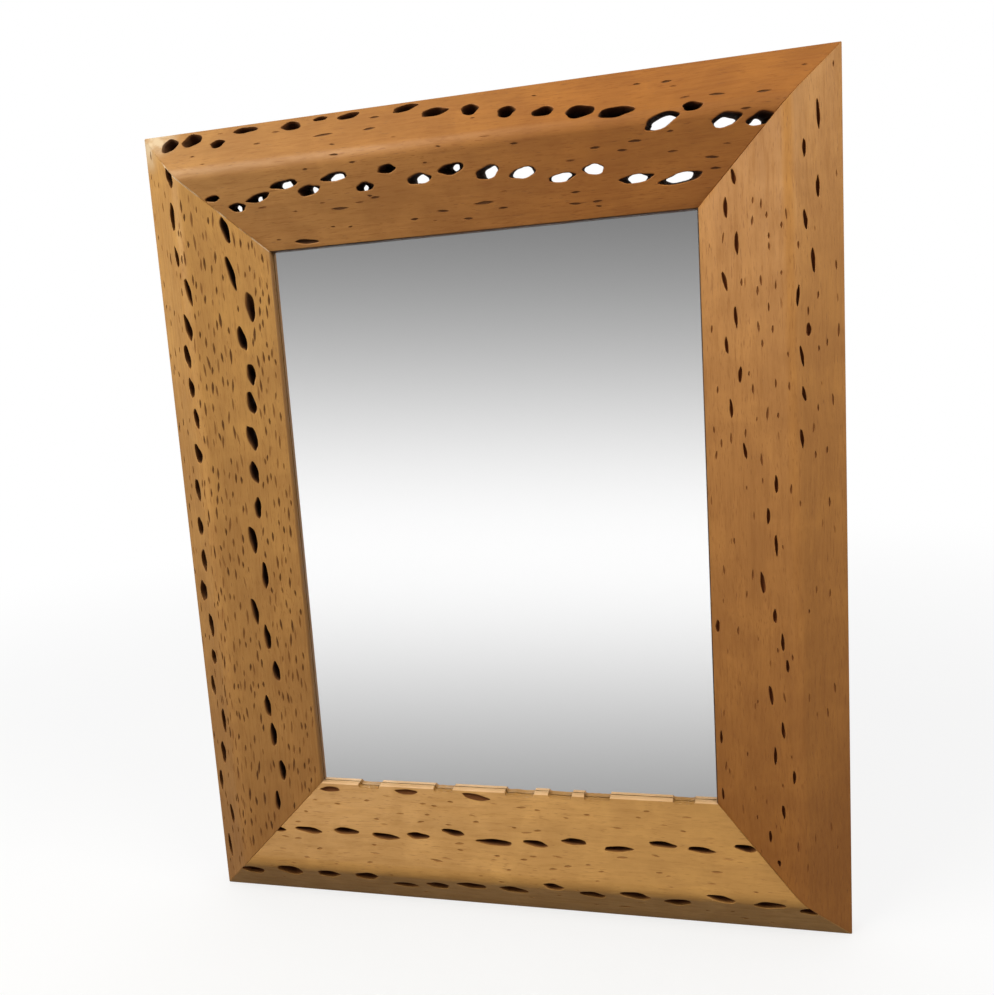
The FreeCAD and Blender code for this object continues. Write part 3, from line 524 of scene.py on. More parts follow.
@dataclass(frozen=True)
class WornMetal(Finish):
    """Plated or drawn metal with fine scratches and duller patches."""

    name: str
    bright: Colour
    dull: Colour
    smooth: float
    rough: float
    brushed: Triple = (1.0, 1.0, 1.0)

    def lay(self, bench: Bench) -> None:
        """Lay the metal's colour, its patches and its scratches.

        Args:
            bench: The bench of the material's own tree.
        """
        place = bench.place()
        patches = bench.between(bench.noise(place, 170.0, 4.0, 0.6), 0.35, 0.72)
        scratches = bench.noise(bench.vector("MULTIPLY", place, self.brushed), 900.0, 3.0, 0.6)
        pits = bench.between(bench.noise(place, 1400.0, 2.0), 0.58, 0.75)
        wear = patches * 0.7 + scratches * 0.3
        bench.finish({"Base Color": bench.mix(self.bright, self.dull, patches * 0.6 + pits * 0.25),
                      "Metallic": 1.0,
                      "Roughness": self.smooth + (self.rough - self.smooth) * wear,
                      "Normal": bench.relief(scratches - pits * 0.6, 0.05, 0.35)})


@dataclass(frozen=True)
class Hardboard(Finish):
    """Brown hardboard whose rough side shows the wire screen that it was pressed on."""

    name: str = "hardboard"

    def lay(self, bench: Bench) -> None:
        """Lay the screen's weave and the board's pressed fibres.

        Args:
            bench: The bench of the material's own tree.
        """
        place = bench.place()
        waves = [bench.node("ShaderNodeTexWave", {"bands_direction": axis, "wave_profile": "SIN"},
                            {"Vector": place, "Scale": 320.0, "Distortion": 0.6}, "Fac")
                 for axis in ("X", "Z")]
        screen = waves[0] * 0.5 + waves[1] * 0.5
        drawn_out = bench.vector("MULTIPLY", place, (1.0, 3.0, 2.2))
        fibres = bench.noise(drawn_out, 520.0, 5.0, 0.65, 0.8)
        clouds = bench.between(bench.noise(place, 22.0, 4.0), 0.30, 0.75)
        brown = bench.mix(shade(150, 110, 72), shade(142, 103, 67), clouds)
        brown = bench.mix(brown, shade(176, 136, 92), bench.between(fibres, 0.55, 0.78) * 0.5)
        brown = bench.mix(brown, shade(92, 62, 40), (1.0 - screen) * 0.35)
        bench.finish({"Base Color": brown, "Roughness": 0.80 + 0.12 * fibres,
                      "Normal": bench.relief(screen * 0.7 + fibres * 0.3, 0.25, 0.7)})


@dataclass(frozen=True)
class Cork(Finish):
    """Pressed cork: pale grains between darker ones."""

    name: str = "cork"
    grains_per_metre: float = 620.0

    def lay(self, bench: Bench) -> None:
        """Lay the grains and the dark gaps between them.

        Args:
            bench: The bench of the material's own tree.
        """
        place = bench.place()
        tone = bench.part(bench.cells(place, self.grains_per_metre, "F1", "Color"), "X")
        gap = bench.cells(place, self.grains_per_metre, "DISTANCE_TO_EDGE", "Distance")
        colour = bench.mix(shade(196, 152, 102), shade(150, 104, 62), tone)
        colour = bench.mix(shade(84, 52, 30), colour, bench.between(gap, 0.0, 0.12))
        bench.finish({"Base Color": colour, "Roughness": 0.82 + 0.1 * tone,
                      "Normal": bench.relief(bench.between(gap, 0.0, 0.2), 0.2, 0.6)})


@dataclass(frozen=True)
class Rubber(Finish):
    """Matt grey-black rubber with a little bloom."""

    name: str = "bumper_rubber"

    def lay(self, bench: Bench) -> None:
        """Lay the rubber's bloom and its fine moulded texture.

        Args:
            bench: The bench of the material's own tree.
        """
        place = bench.place()
        bloom = bench.between(bench.noise(place, 130.0, 4.0), 0.40, 0.72)
        grit = bench.noise(place, 1800.0, 3.0)
        bench.finish({"Base Color": bench.mix(shade(40, 38, 37), shade(70, 67, 64), bloom * 0.6),
                      "Roughness": 0.62 + 0.2 * bloom,
                      "Normal": bench.relief(grit, 0.08, 0.4)})


@dataclass(frozen=True)
class Beech(Finish):
    """Pale beech with short darker rays, for the hidden splines."""

    name: str = "beech"

    def lay(self, bench: Bench) -> None:
        """Lay the beech's tone and its rays.

        Args:
            bench: The bench of the material's own tree.
        """
        place = bench.place()
        shortened = bench.vector("MULTIPLY", place, (5.0, 1.0, 1.0))
        rays = bench.between(bench.noise(shortened, 240.0, 3.0), 0.55, 0.70)
        clouds = bench.noise(place, 60.0, 3.0)
        colour = bench.mix(shade(214, 176, 132), shade(196, 152, 108), clouds)
        bench.finish({"Base Color": bench.mix(colour, shade(150, 102, 66), rays * 0.5),
                      "Roughness": 0.62 + 0.1 * clouds, "Normal": bench.relief(rays, 0.1, 0.3)})


@dataclass(frozen=True)
class PaleFloor(Finish):
    """A floor that keeps a shadow, fades into the white room and is missing from reflections."""

    name: str = "pale_floor"

    def lay(self, bench: Bench) -> None:
        """Lay the floor that the camera sees, the one that gives light back, and none at all.

        Args:
            bench: The bench of the material's own tree.
        """
        place = bench.place()
        away = bench.vector("LENGTH", place, (0.0, 0.0, 0.0), "Value")
        tone = bench.mix(shade(230, 231, 235), shade(236, 237, 242), bench.noise(place, 3.0))
        matt = bench.node("ShaderNodeBsdfDiffuse", {}, {"Color": tone})
        dim = bench.node("ShaderNodeBsdfDiffuse", {}, {"Color": shade(159, 158, 160)})
        white = bench.node("ShaderNodeEmission", {}, {"Color": WHITE, "Strength": 1.0})
        whiter = 0.76 + 0.24 * bench.between(away, 0.35, 1.6)
        seen = bench.either(bench.by_ray(1.0, 1.0, 0.0), dim, matt)
        shown = bench.either(bench.by_ray(whiter, 0.0, 0.0), seen, white)
        missing = bench.node("ShaderNodeBsdfTransparent")
        bench.show(bench.either(bench.by_ray(0.0, 1.0, 0.0), shown, missing))


NAIL_STEEL = WornMetal("nail_steel", shade(176, 178, 180), shade(112, 106, 98), 0.30, 0.58)
STRAP_STEEL = WornMetal("strap_steel", shade(206, 208, 206), shade(158, 158, 152), 0.26, 0.46,
                        brushed=(0.15, 1.0, 1.0))
RING_STEEL = WornMetal("ring_steel", shade(222, 223, 224), shade(182, 183, 184), 0.10, 0.24)
SCREW_BRASS = WornMetal("screw_brass", shade(222, 182, 104), shade(160, 122, 62), 0.22, 0.42)


# ---------------------------------------------------------------------------------------------
# Meshes
# ---------------------------------------------------------------------------------------------

def rings_to_faces(rings: int, around: int) -> list[Sequence[int]]:
    """Join rings of vertices that lie one after another, and close the first and the last.

    Args:
        rings: How many rings there are.
        around: How many vertices each has.

    Returns:
        The faces, which look outward where the rings turn anticlockwise round their way on.
    """
    faces: list[Sequence[int]] = []
    for ring in range(rings - 1):
        for step in range(around):
            after = (step + 1) % around
            first, second = ring * around, (ring + 1) * around
            faces.append((first + step, first + after, second + after, second + step))
    faces.append(tuple(range(around - 1, -1, -1)))
    faces.append(tuple(range((rings - 1) * around, rings * around)))
    return faces


def circle(across: float, up: float, radius: float, around: int) -> list[Pair]:
    """The points of a circle about a place."""
    return [(across + radius * math.cos(turn), up + radius * math.sin(turn))
            for turn in np.linspace(0.0, math.tau, around, endpoint=False)]


def joined(meshes: Iterable[Mesh]) -> Mesh:
    """Join several meshes.

    Args:
        meshes: The meshes.

    Returns:
        All their points and faces as one mesh.
    """
    points: list[Triple] = []
    faces: list[Sequence[int]] = []
    for more_points, more_faces in meshes:
        start = len(points)
        points.extend(more_points)
        faces.extend([tuple(start + index for index in face) for face in more_faces])
    return points, faces


def moved(mesh: Mesh, place: Callable[[Triple], Triple]) -> Mesh:
    """A mesh with each of its points put through a function."""
    points, faces = mesh
    return [place(point) for point in points], faces


def lathe(profile: Sequence[Pair], around: int = 48) -> Mesh:
    """Turn a profile about the Y axis.

    Args:
        profile: Radius and place along the axis, from one end to the other; both ends may be
            on the axis.
        around: How many steps go round.

    Returns:
        The closed mesh.
    """
    points: list[Triple] = []
    for radius, along in profile:
        radius = max(radius, 0.01)
        for step in range(around):
            angle = math.tau * step / around
            points.append((radius * math.cos(angle), along, radius * math.sin(angle)))
    return points, rings_to_faces(len(profile), around)


def to_mesh(name: str, mesh: Mesh) -> bpy.types.Mesh:
    """Turn a mesh in millimetres into one of Blender's, in metres.

    Args:
        name: Its name.
        mesh: Its points and faces.

    Returns:
        The mesh, its faces looking outward.
    """
    points, faces = mesh
    data = bpy.data.meshes.new(name)
    data.from_pydata([tuple(value * MM for value in point) for point in points], [], faces)
    data.validate()
    if signed_volume(data) < 0:
        data.flip_normals()
    data.update()
    return data


def signed_volume(data: bpy.types.Mesh) -> float:
    """Measure what a mesh holds.

    Args:
        data: The closed mesh.

    Returns:
        Its volume, negative where its faces look inward.
    """
    data.calc_loop_triangles()
    places = np.array([vertex.co for vertex in data.vertices])
    triangles = places[np.array([triangle.vertices for triangle in data.loop_triangles])]
    first, second, third = triangles.transpose(1, 0, 2)
    return float(np.einsum("ij,ij->i", first, np.cross(second, third)).sum() / 6)


def stand(name: str, data: bpy.types.ID) -> bpy.types.Object:
    """Stand a new object in the scene."""
    made = bpy.data.objects.new(name, data)
    bpy.context.scene.collection.objects.link(made)
    return made


def cut(data: bpy.types.Mesh, cutter: bpy.types.Mesh) -> bpy.types.Mesh:
    """Cut one mesh out of another.

    Args:
        data: The mesh that is cut.
        cutter: The mesh that is taken out of it.

    Returns:
        What is left. Its new faces have the cutter's material numbers.
    """
    blank, tool = stand("blank", data), stand("tool", cutter)
    modifier = blank.modifiers.new("cut", "BOOLEAN")
    modifier.operation, modifier.solver, modifier.object = "DIFFERENCE", "MANIFOLD", tool
    bpy.context.view_layer.update()
    evaluated = blank.evaluated_get(bpy.context.evaluated_depsgraph_get())
    left = bpy.data.meshes.new_from_object(evaluated)
    for thing in (blank, tool):
        bpy.data.objects.remove(thing)
    return left


def values_of(items: bpy.types.bpy_prop_collection, name: str, each: int = 1,
              kind: type = np.int32) -> np.ndarray:
    """Read the same value from all the parts of a mesh.

    Args:
        items: The mesh's vertices, edges, faces or their corners.
        name: The value's name.
        each: How many numbers it has.
        kind: The type of its numbers.

    Returns:
        The numbers, one part after another.
    """
    values = np.zeros(len(items) * each, kind)
    items.foreach_get(name, values)
    return values


def keep(data: bpy.types.Mesh, name: str, domain: str, values: np.ndarray) -> None:
    """Keep a number with every face of a mesh, or with every corner of its faces."""
    kept = data.attributes.new(name, "FLOAT", domain)
    kept.data.foreach_set("value", values.astype(np.float32))


def make_piece(name: str, data: bpy.types.Mesh, finish: Finish, node: str,
               smooth_below: float = 38.0) -> None:
    """Turn a mesh into a piece of the mirror.

    Args:
        name: The piece's name.
        data: Its mesh, in metres and in place.
        finish: Its finish.
        node: The solid of the model that it stands for.
        smooth_below: Edges that turn by fewer degrees than this are shaded smooth.
    """
    data.materials.clear()
    data.materials.append(finish.material())
    data.shade_smooth()
    data.set_sharp_from_angle(angle=math.radians(smooth_below))
    piece = stand(name, data)
    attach(piece, FRAME_BODY)
    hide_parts(node)
    LOG.info("%s: %d faces", name, len(data.polygons))


def dress(finish: Finish, *nodes: str) -> None:
    """Give solids of the model that stay as they are their finish.

    Args:
        finish: The finish.
        nodes: The solids.
    """
    for node in nodes:
        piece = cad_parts[node]
        piece.data.materials.clear()
        piece.data.materials.append(finish.material())
        LOG.info("%s: dressed with %s", node, finish.name)


# ---------------------------------------------------------------------------------------------
# The moulding and its pores
# ---------------------------------------------------------------------------------------------

@dataclass(frozen=True)
class Moulding:
    """The section that the four members share.

    Insets are counted from the outer edge, and heights from the back.
    """

    width: float = 84.0
    outer_wall: float = 19.0
    ridge_inset: float = 32.0
    ridge_centre: float = 30.0
    ridge_radius: float = 10.0
    arris_radius: float = 1.5
    back_arris: float = 0.6
    lip_front: float = 13.0
    rebate_depth: float = 9.0
    rebate_inset: float = 76.0
    face_step: float = 5.0
    back_step: float = 9.0

    def touch(self, corner: Pair, side: int) -> Triple:
        """Where the slope from a corner touches the rounded ridge.

        Args:
            corner: The corner's inset and height.
            side: Minus one for the outer slope, one for the inner.

        Returns:
            The inset, the height and the angle round the ridge.
        """
        across, up = corner[0] - self.ridge_inset, corner[1] - self.ridge_centre
        bearing = math.atan2(up, across) % math.tau
        angle = (bearing + side * math.acos(self.ridge_radius / math.hypot(across, up))) % math.tau
        return (self.ridge_inset + self.ridge_radius * math.cos(angle),
                self.ridge_centre + self.ridge_radius * math.sin(angle), angle)

    def face_height(self, inset: np.ndarray) -> np.ndarray:
        """Measure the face.

        Args:
            inset: Some insets.

        Returns:
            How high the face stands above the back at each of them.
        """
        outer, outer_height, _ = self.touch((0.0, self.outer_wall), -1)
        inner, inner_height, _ = self.touch((self.width, self.lip_front), 1)
        rising = self.outer_wall + inset * (outer_height - self.outer_wall) / outer
        drop = self.lip_front - inner_height
        falling = inner_height + (inset - inner) * drop / (self.width - inner)
        off_centre = np.clip(inset - self.ridge_inset, -self.ridge_radius, self.ridge_radius)
        crown = self.ridge_centre + np.sqrt(self.ridge_radius ** 2 - off_centre ** 2)
        return np.where(inset <= outer, rising, np.where(inset >= inner, falling, crown))

    @staticmethod
    def eased(before: Pair, corner: Pair, after: Pair, radius: float, steps: int) -> list[Pair]:
        """Round a corner of the section.

        Args:
            before: A point on the way to the corner.
            corner: The corner.
            after: A point on the way on from it.
            radius: The radius that it is rounded to.
            steps: How many steps its arc has.

        Returns:
            The arc's points.
        """
        arms = [Vector(end) - Vector(corner) for end in (before, after)]
        opening = arms[0].angle(arms[1])
        reach = radius / math.tan(opening / 2)
        middle = (arms[0].normalized() + arms[1].normalized()).normalized()
        centre = Vector(corner) + middle * (radius / math.sin(opening / 2))
        ends = [Vector(corner) + arm.normalized() * reach - centre for arm in arms]
        turn = ends[0].angle_signed(ends[1])
        start = math.atan2(ends[0].y, ends[0].x)
        return [(centre.x + radius * math.cos(start - turn * step / steps),
                 centre.y + radius * math.sin(start - turn * step / steps))
                for step in range(steps + 1)]

    def outline(self) -> list[Pair]:
        """Draw the section.

        Returns:
            Its points, from the outer corner of the back over the face to the rebate.
        """
        foot, wall, lip = (0.0, 0.0), (0.0, self.outer_wall), (self.width, self.lip_front)
        lip_back, rebate = (self.width, self.rebate_depth), (self.rebate_inset, self.rebate_depth)
        heel = (self.rebate_inset, 0.0)
        turns = np.linspace(self.touch(wall, -1)[2], self.touch(lip, 1)[2], 13)
        ridge = [(self.ridge_inset + self.ridge_radius * math.cos(turn),
                  self.ridge_centre + self.ridge_radius * math.sin(turn)) for turn in turns]
        lip_arc = self.eased(ridge[-1], lip, lip_back, self.arris_radius, 5)
        points = self.eased(heel, foot, wall, self.back_arris, 2)
        points += self.eased(foot, wall, ridge[0], self.arris_radius, 5)
        points = self.stepped(points, ridge[0], self.face_step) + ridge
        points = self.stepped(points, lip_arc[0], self.face_step) + lip_arc
        points += [lip_back, rebate] + self.eased(rebate, heel, foot, self.back_arris / 2, 1)
        return self.stepped(points, points[0], self.back_step)

    @staticmethod
    def stepped(points: list[Pair], goal: Pair, step: float) -> list[Pair]:
        """Add points on the way from the last one to a goal.

        Args:
            points: The points so far.
            goal: Where the way ends; it isn't added.
            step: About how far apart the new points are.

        Returns:
            The points with the new ones after them.
        """
        start, end = Vector(points[-1]), Vector(goal)
        count = max(1, round((end - start).length / step))
        return points + [tuple(start.lerp(end, index / count)) for index in range(1, count)]


@dataclass(frozen=True)
class Pore:
    """One pore: its shares between the mitres and across the moulding, and of the full size.

    The last four give its far end in millimetres: how far it wanders along and across on its
    way to the back, and how long and high it is there. Without them it closes up on its way.
    """

    along: float
    across: float
    length: float
    height: float
    wander_along: float = 0.0
    wander_across: float = 0.0
    far_length: float = 0.0
    far_height: float = 0.0


@dataclass(frozen=True)
class Row:
    """A row of pores: how deep they are, 0 for right through, and how far they turn, in radians."""

    pores: tuple[Pore, ...]
    depth: float
    turn: float


def row(*pores: tuple[float, ...], depth: float = 0.0, turn: float = 0.0) -> Row:
    """A row from its pores' values."""
    return Row(tuple(Pore(*each) for each in pores), depth, turn)


class Kind(Enum):
    """What a face of a finished member was cut by."""

    BLANK = 0
    PORE = 1
    FLECK = 2
    BARE = 3


@dataclass(frozen=True)
class Zone:
    """A band of flecks: between two insets, how far apart they are, and how long they are."""

    start: float
    end: float
    along_step: float
    across_step: float
    shortest: float
    longest: float


@dataclass(frozen=True)
class Fixings:
    """The slots and holes in the members for what holds the mirror together and on the wall."""

    clearance: float = 0.05
    overrun: float = 1.0
    nail_places: Pair = (20.0, 62.0)
    nail_leg: float = 5.0
    nail_thickness: float = 0.6
    nail_depth: float = 8.0
    spline_centre: float = 62.18
    spline_half: float = 17.2
    spline_bulge: float = 6.7
    spline_low: float = 8.8
    spline_high: float = 13.2
    sprig_shares: Triple = (0.18, 0.5, 0.82)
    sprig_margin: float = 78.0
    sprig_start: float = 67.9
    sprig_height: float = 2.15
    sprig_radius: float = 0.65
    screw_station: float = 394.0
    screw_radius: float = 1.6
    screw_depth: float = 12.5


def prism(corners: Sequence[Pair], low: float, high: float) -> Mesh:
    """A prism over an outline of stations and insets, between two heights."""
    points = [(station, inset, height) for height in (low, high) for station, inset in corners]
    return points, rings_to_faces(2, len(corners))


def rippled(angles: np.ndarray, ripples: Sequence[Triple], phases: Sequence[float],
            down: float = 0.0) -> np.ndarray:
    """The unevenness of a pore's ring.

    Args:
        angles: Where its points are round it.
        ripples: How often each ripple comes round, how large it is and how it turns with depth.
        phases: Where each ripple starts.
        down: How deep the ring lies.

    Returns:
        How far each point is off.
    """
    return sum(size * np.sin(times * angles + phase + twist * down)
               for (times, size, twist), phase in zip(ripples, phases))


@dataclass(frozen=True)
class Member:
    """One length of the moulding, with its pores, flecks and chips.

    Its own axes are the station along it, the inset across it and the height above its back.
    """

    node: str
    finish: CactusWood
    length: float
    quarter_turns: int
    against: bool
    lean: float
    rows: tuple[Row, ...]
    zones: tuple[Zone, ...]
    seed: int
    noted: tuple[Triple, ...] = ()
    screw_insets: tuple[float, ...] = ()
    chips: tuple[Triple, ...] = ()
    moulding: Moulding = Moulding()
    fixings: Fixings = Fixings()
    pore_length: float = 20.0
    pore_height: float = 8.0
    heart_inset: float = 25.0
    heart_behind: float = 95.0
    rim: float = 0.65
    rim_ripples: tuple[Triple, ...] = ((2, 0.08, 0.0), (3, 0.06, 0.0), (5, 0.045, 0.0))
    wall_ripples: tuple[Triple, ...] = ((2, 0.22, 0.21), (3, 0.16, -0.33), (7, 0.08, 0.9))
    closing_share: float = 0.42
    closed_by: float = 0.8
    fleck_stain: float = 0.95
    slim: float = 1.0
    around: int = 26
    around_fleck: int = 12
    mitre_gap: float = 0.04
    mitre_ease: float = 0.35
    station_step: float = 9.0
    chip_points: int = 9
    chip_roughness: float = 0.14
    chip_low: float = 8.0
    chip_high: float = 18.0

    def build(self) -> None:
        """Make the member: its blank, its pores and flecks, and the holes for its fixings."""
        random = np.random.default_rng(self.seed)
        data = to_mesh(self.node, self.placed(self.blank()))
        for _ in Kind:
            data.materials.append(None)
        pores = self.pore_cutters(random)
        flecks = self.fleck_cutters(random)
        bare = self.fixing_cutters() + self.chip_cutters(random)
        for kind, cutters in ((Kind.PORE, pores), (Kind.FLECK, flecks), (Kind.BARE, bare)):
            for batch in self.apart(cutters):
                data = self.cut_batch(data, kind, batch)
        kinds = self.stained(data)
        make_piece(self.node + "_wood", data, self.finish, self.node)
        self.crisp_rims(data, kinds)

    def cut_batch(self, data: bpy.types.Mesh, kind: Kind, batch: Iterable[Mesh]) -> bpy.types.Mesh:
        """Cut a batch of spaces out of the member.

        Args:
            data: The member so far.
            kind: What kind the spaces are.
            batch: The spaces, in the member's own axes.

        Returns:
            What is left, with the kind as the material number of each new face.
        """
        cutter = to_mesh("cutter", joined(self.placed(each) for each in batch))
        for _ in Kind:
            cutter.materials.append(None)
        cutter.polygons.foreach_set("material_index", [kind.value] * len(cutter.polygons))
        return cut(data, cutter)

    # from the member's own axes to the frame and back

    def to_frame(self, point: Triple) -> Triple:
        """Place a point in the frame.

        Args:
            point: The point in the member's own axes.

        Returns:
            The point in the frame's.
        """
        station, inset, height = point
        x, z = {0: (station - HALF_WIDTH, inset),
                1: (HALF_WIDTH - inset, station),
                2: (HALF_WIDTH - station, FRAME_HEIGHT - inset),
                3: (inset - HALF_WIDTH, FRAME_HEIGHT - station)}[self.quarter_turns]
        return x, BACK_PLANE - height, z

    def placed(self, mesh: Mesh) -> Mesh:
        """A mesh in the member's own axes as a mesh in the frame."""
        return moved(mesh, self.to_frame)

    def insets_and_heights(self, places: np.ndarray) -> tuple[np.ndarray, np.ndarray]:
        """Find points of the frame in the member's own axes.

        Args:
            places: The points, in metres.

        Returns:
            Their insets and their heights.
        """
        x, y, z = (places / MM).T
        inset = {0: z, 1: HALF_WIDTH - x, 2: FRAME_HEIGHT - z, 3: x + HALF_WIDTH}
        return inset[self.quarter_turns], BACK_PLANE - y

    def noted_station(self, place: float) -> float:
        """A place counted from the left or lower end, as a station."""
        return self.length - place if self.against else place

    def blank(self) -> Mesh:
        """Make the mitred length of moulding, its mitres eased to a fine groove.

        Returns:
            The closed mesh, in the member's own axes.
        """
        outline = self.moulding.outline()
        wall_top, lip = self.moulding.outer_wall - 8.0, self.moulding.width - 1.0
        count = round(self.length / self.station_step)
        shares = [0.0, 0.0, *(step / count for step in range(1, count)), 1.0, 1.0]
        points: list[Triple] = []
        for index, share in enumerate(shares):
            at_end = index in (0, len(shares) - 1)
            short = self.mitre_gap if at_end else self.mitre_gap + self.mitre_ease
            for inset, height in outline:
                on_face = height > 0.5 and inset < self.moulding.rebate_inset or inset > lip
                drop = self.mitre_ease if at_end and on_face and height > wall_top else 0.0
                station = inset + short + share * (self.length - 2 * inset - 2 * short)
                inward = drop * 0.6 if inset < 1.0 else 0.0
                points.append((station, inset + inward, height - drop))
        return points, rings_to_faces(len(shares), len(outline))

    # pores

    def station(self, pore: Pore) -> float:
        """Find a pore's mouth.

        Args:
            pore: The pore.

        Returns:
            How far along the member its mouth is.
        """
        inset = pore.across * self.moulding.width
        share = 1.0 - pore.along if self.against else pore.along
        return inset + share * (self.length - 2 * inset)

    def pore_cutters(self, random: np.random.Generator) -> list[Mesh]:
        """Make the space of every pore.

        Args:
            random: Where their unevenness comes from.

        Returns:
            The closed spaces.
        """
        cutters = []
        for line in self.rows:
            turn = -line.turn if self.against else line.turn
            cutters.extend(self.pore(pore, line.depth, turn, random) for pore in line.pores)
        return cutters

    def aim(self, inset: float, surface: float) -> tuple[np.ndarray, np.ndarray, np.ndarray]:
        """Aim a pore at the heart of the trunk.

        Args:
            inset: Where its mouth is across the member.
            surface: How high the face is there.

        Returns:
            The way into the wood, and the ways along and across the grain that are square to it.
        """
        lean = -self.lean if self.against else self.lean
        sideways = (self.heart_inset - inset) / (self.heart_behind + surface)
        inward = np.array([lean, sideways, -1.0])
        inward /= np.linalg.norm(inward)
        grain = np.array([1.0, 0.0, 0.0]) - inward[0] * inward
        grain /= np.linalg.norm(grain)
        across = np.cross(grain, inward)
        return inward, grain, across * math.copysign(1.0, across[1])

    def pore(self, pore: Pore, depth: float, turn: float, random: np.random.Generator) -> Mesh:
        """Make the space of one pore: uneven, softened at its rim, and aimed at the heart.

        Args:
            pore: Its shares.
            depth: How deep it is, or 0 for right through.
            turn: How far it turns from the member's own direction.
            random: Where its unevenness comes from.

        Returns:
            The closed space, in the member's own axes.
        """
        inset = pore.across * self.moulding.width
        surface = float(self.moulding.face_height(np.array([inset]))[0])
        mouth = np.array([self.station(pore), inset, surface])
        inward, grain, across = self.aim(inset, surface)
        turn += random.normal(0.0, 0.06)
        grain, across = (grain * math.cos(turn) + across * math.sin(turn),
                         across * math.cos(turn) - grain * math.sin(turn))
        height = self.pore_height * pore.height * self.slim
        rim = self.rim * min(1.0, height / 6.0)
        half_length = self.pore_length * pore.length / 2 - rim * 0.8
        half_height = height / 2 - rim * 0.8
        angles = np.linspace(0.0, math.tau, self.around, endpoint=False)
        blunt = random.uniform(0.05, 0.28)
        phases = random.uniform(0.0, math.tau, 6)
        wobble = 1.0 + rippled(angles, self.rim_ripples, phases[:3])
        long_way = half_length * np.cos(angles) * wobble
        short_way = half_height * np.sin(angles) * (1.0 - blunt * np.cos(angles) ** 2) * wobble
        out_long, out_short = long_way / half_length ** 2, short_way / half_height ** 2
        out_size = np.hypot(out_long, out_short)
        out_long, out_short = out_long / out_size, out_short / out_size
        to_back = surface / abs(inward[2])
        full = depth if depth else to_back + (4.0 + half_height) / abs(inward[2])
        far_long, far_short = (far / 2 / half if far else self.closing_share for far, half in
                               ((pore.far_length, half_length), (pore.far_height, half_height)))
        wander = np.array([-pore.wander_along if self.against else pore.wander_along,
                           pore.wander_across, 0.0])
        points: list[Triple] = []
        rings = self.pore_rings(rim, full, bool(depth))
        for down, flare, scale in rings:
            below = max(down, 0.0)
            uneven = rippled(angles, self.wall_ripples, phases[3:], down)
            way = 0.0 if depth else min(below / to_back, 1.3)
            share = min(way / self.closed_by, 1.0)
            closing = share ** 2 * (3.0 - 2.0 * share)
            spread = flare + uneven * min(below / 3.0, 1.0) * min(half_height / 3.0, 1.0) * scale
            lengthwise = long_way * scale * (1.0 + (far_long - 1.0) * closing) + out_long * spread
            crosswise = short_way * scale * (1.0 + (far_short - 1.0) * closing) + out_short * spread
            offsets = np.outer(lengthwise, grain) + np.outer(crosswise, across)
            on_face = self.down_to_face(mouth + offsets, inward)
            points.extend(map(tuple, on_face + inward * down + wander * way))
        return points, rings_to_faces(len(rings), self.around)

    @staticmethod
    def pore_rings(rim: float, full: float, blind: bool) -> list[Triple]:
        """Lay out the rings of a pore.

        Args:
            rim: How far its rim is rounded.
            full: How deep it is.
            blind: Whether it closes up at its end.

        Returns:
            How far down each ring is, how much wider, and its share of the pore's full size.
        """
        rings = [(-0.9, rim * 1.25, 1.0)]
        for turn in (0.0, 0.35, 0.7, 1.05, math.pi / 2):
            rings.append((rim * (1.0 - math.cos(turn)), rim * (1.0 - math.sin(turn)), 1.0))
        if blind:
            ends = ((0.35, 0.96), (0.60, 0.86), (0.80, 0.66), (0.94, 0.38), (1.0, 0.10))
            return rings + [(full * share, 0.0, scale) for share, scale in ends]
        steps = max(3, round(full / 3.5))
        return rings + [(rim + (full - rim) * step / steps, 0.0, 1.0)
                        for step in range(1, steps + 1)]

    def down_to_face(self, points: np.ndarray, inward: np.ndarray) -> np.ndarray:
        """Slide points along a direction until they lie on the moulding's face.

        Args:
            points: The points.
            inward: The direction.

        Returns:
            The points on the face.
        """
        low, high = np.full(len(points), -14.0), np.full(len(points), 14.0)
        for _ in range(24):
            middle = (low + high) / 2
            tried = points + np.outer(middle, inward)
            above = tried[:, 2] > self.moulding.face_height(tried[:, 1])
            low, high = np.where(above, middle, low), np.where(above, high, middle)
        return points + np.outer((low + high) / 2, inward)

    # flecks

    def fleck_cutters(self, random: np.random.Generator) -> list[Mesh]:
        """Make the small open flecks between the pores, those noted first.

        Args:
            random: Where the others' places and the unevenness of all come from.

        Returns:
            Their closed spaces, clear of the pores and of each other.
        """
        wanted = [(self.noted_station(place), inset, length, 1.0)
                  for place, inset, length in self.noted]
        wanted += [fleck for zone in self.zones for fleck in self.strewn(zone, random)]
        taken = [(self.station(pore), pore.across * self.moulding.width,
                  self.pore_length * pore.length / 2 + 1.2,
                  self.pore_height * pore.height / 2 + 1.2)
                 for line in self.rows for pore in line.pores]
        cutters = []
        for station, inset, length, weight in wanted:
            clear = all(((station - at) / (half + length / 2)) ** 2
                        + ((inset - off) / (high + 0.6)) ** 2 > 1.0
                        for at, off, half, high in taken)
            mitre = inset + length / 2 + 1.0
            inside = (1.8 < inset < self.moulding.width - 2.2
                      and mitre < station < self.length - mitre)
            if clear and inside:
                taken.append((station, inset, length / 2 + 0.8, 0.9))
                cutters.append(self.fleck(station, inset, length, weight, random))
        return cutters

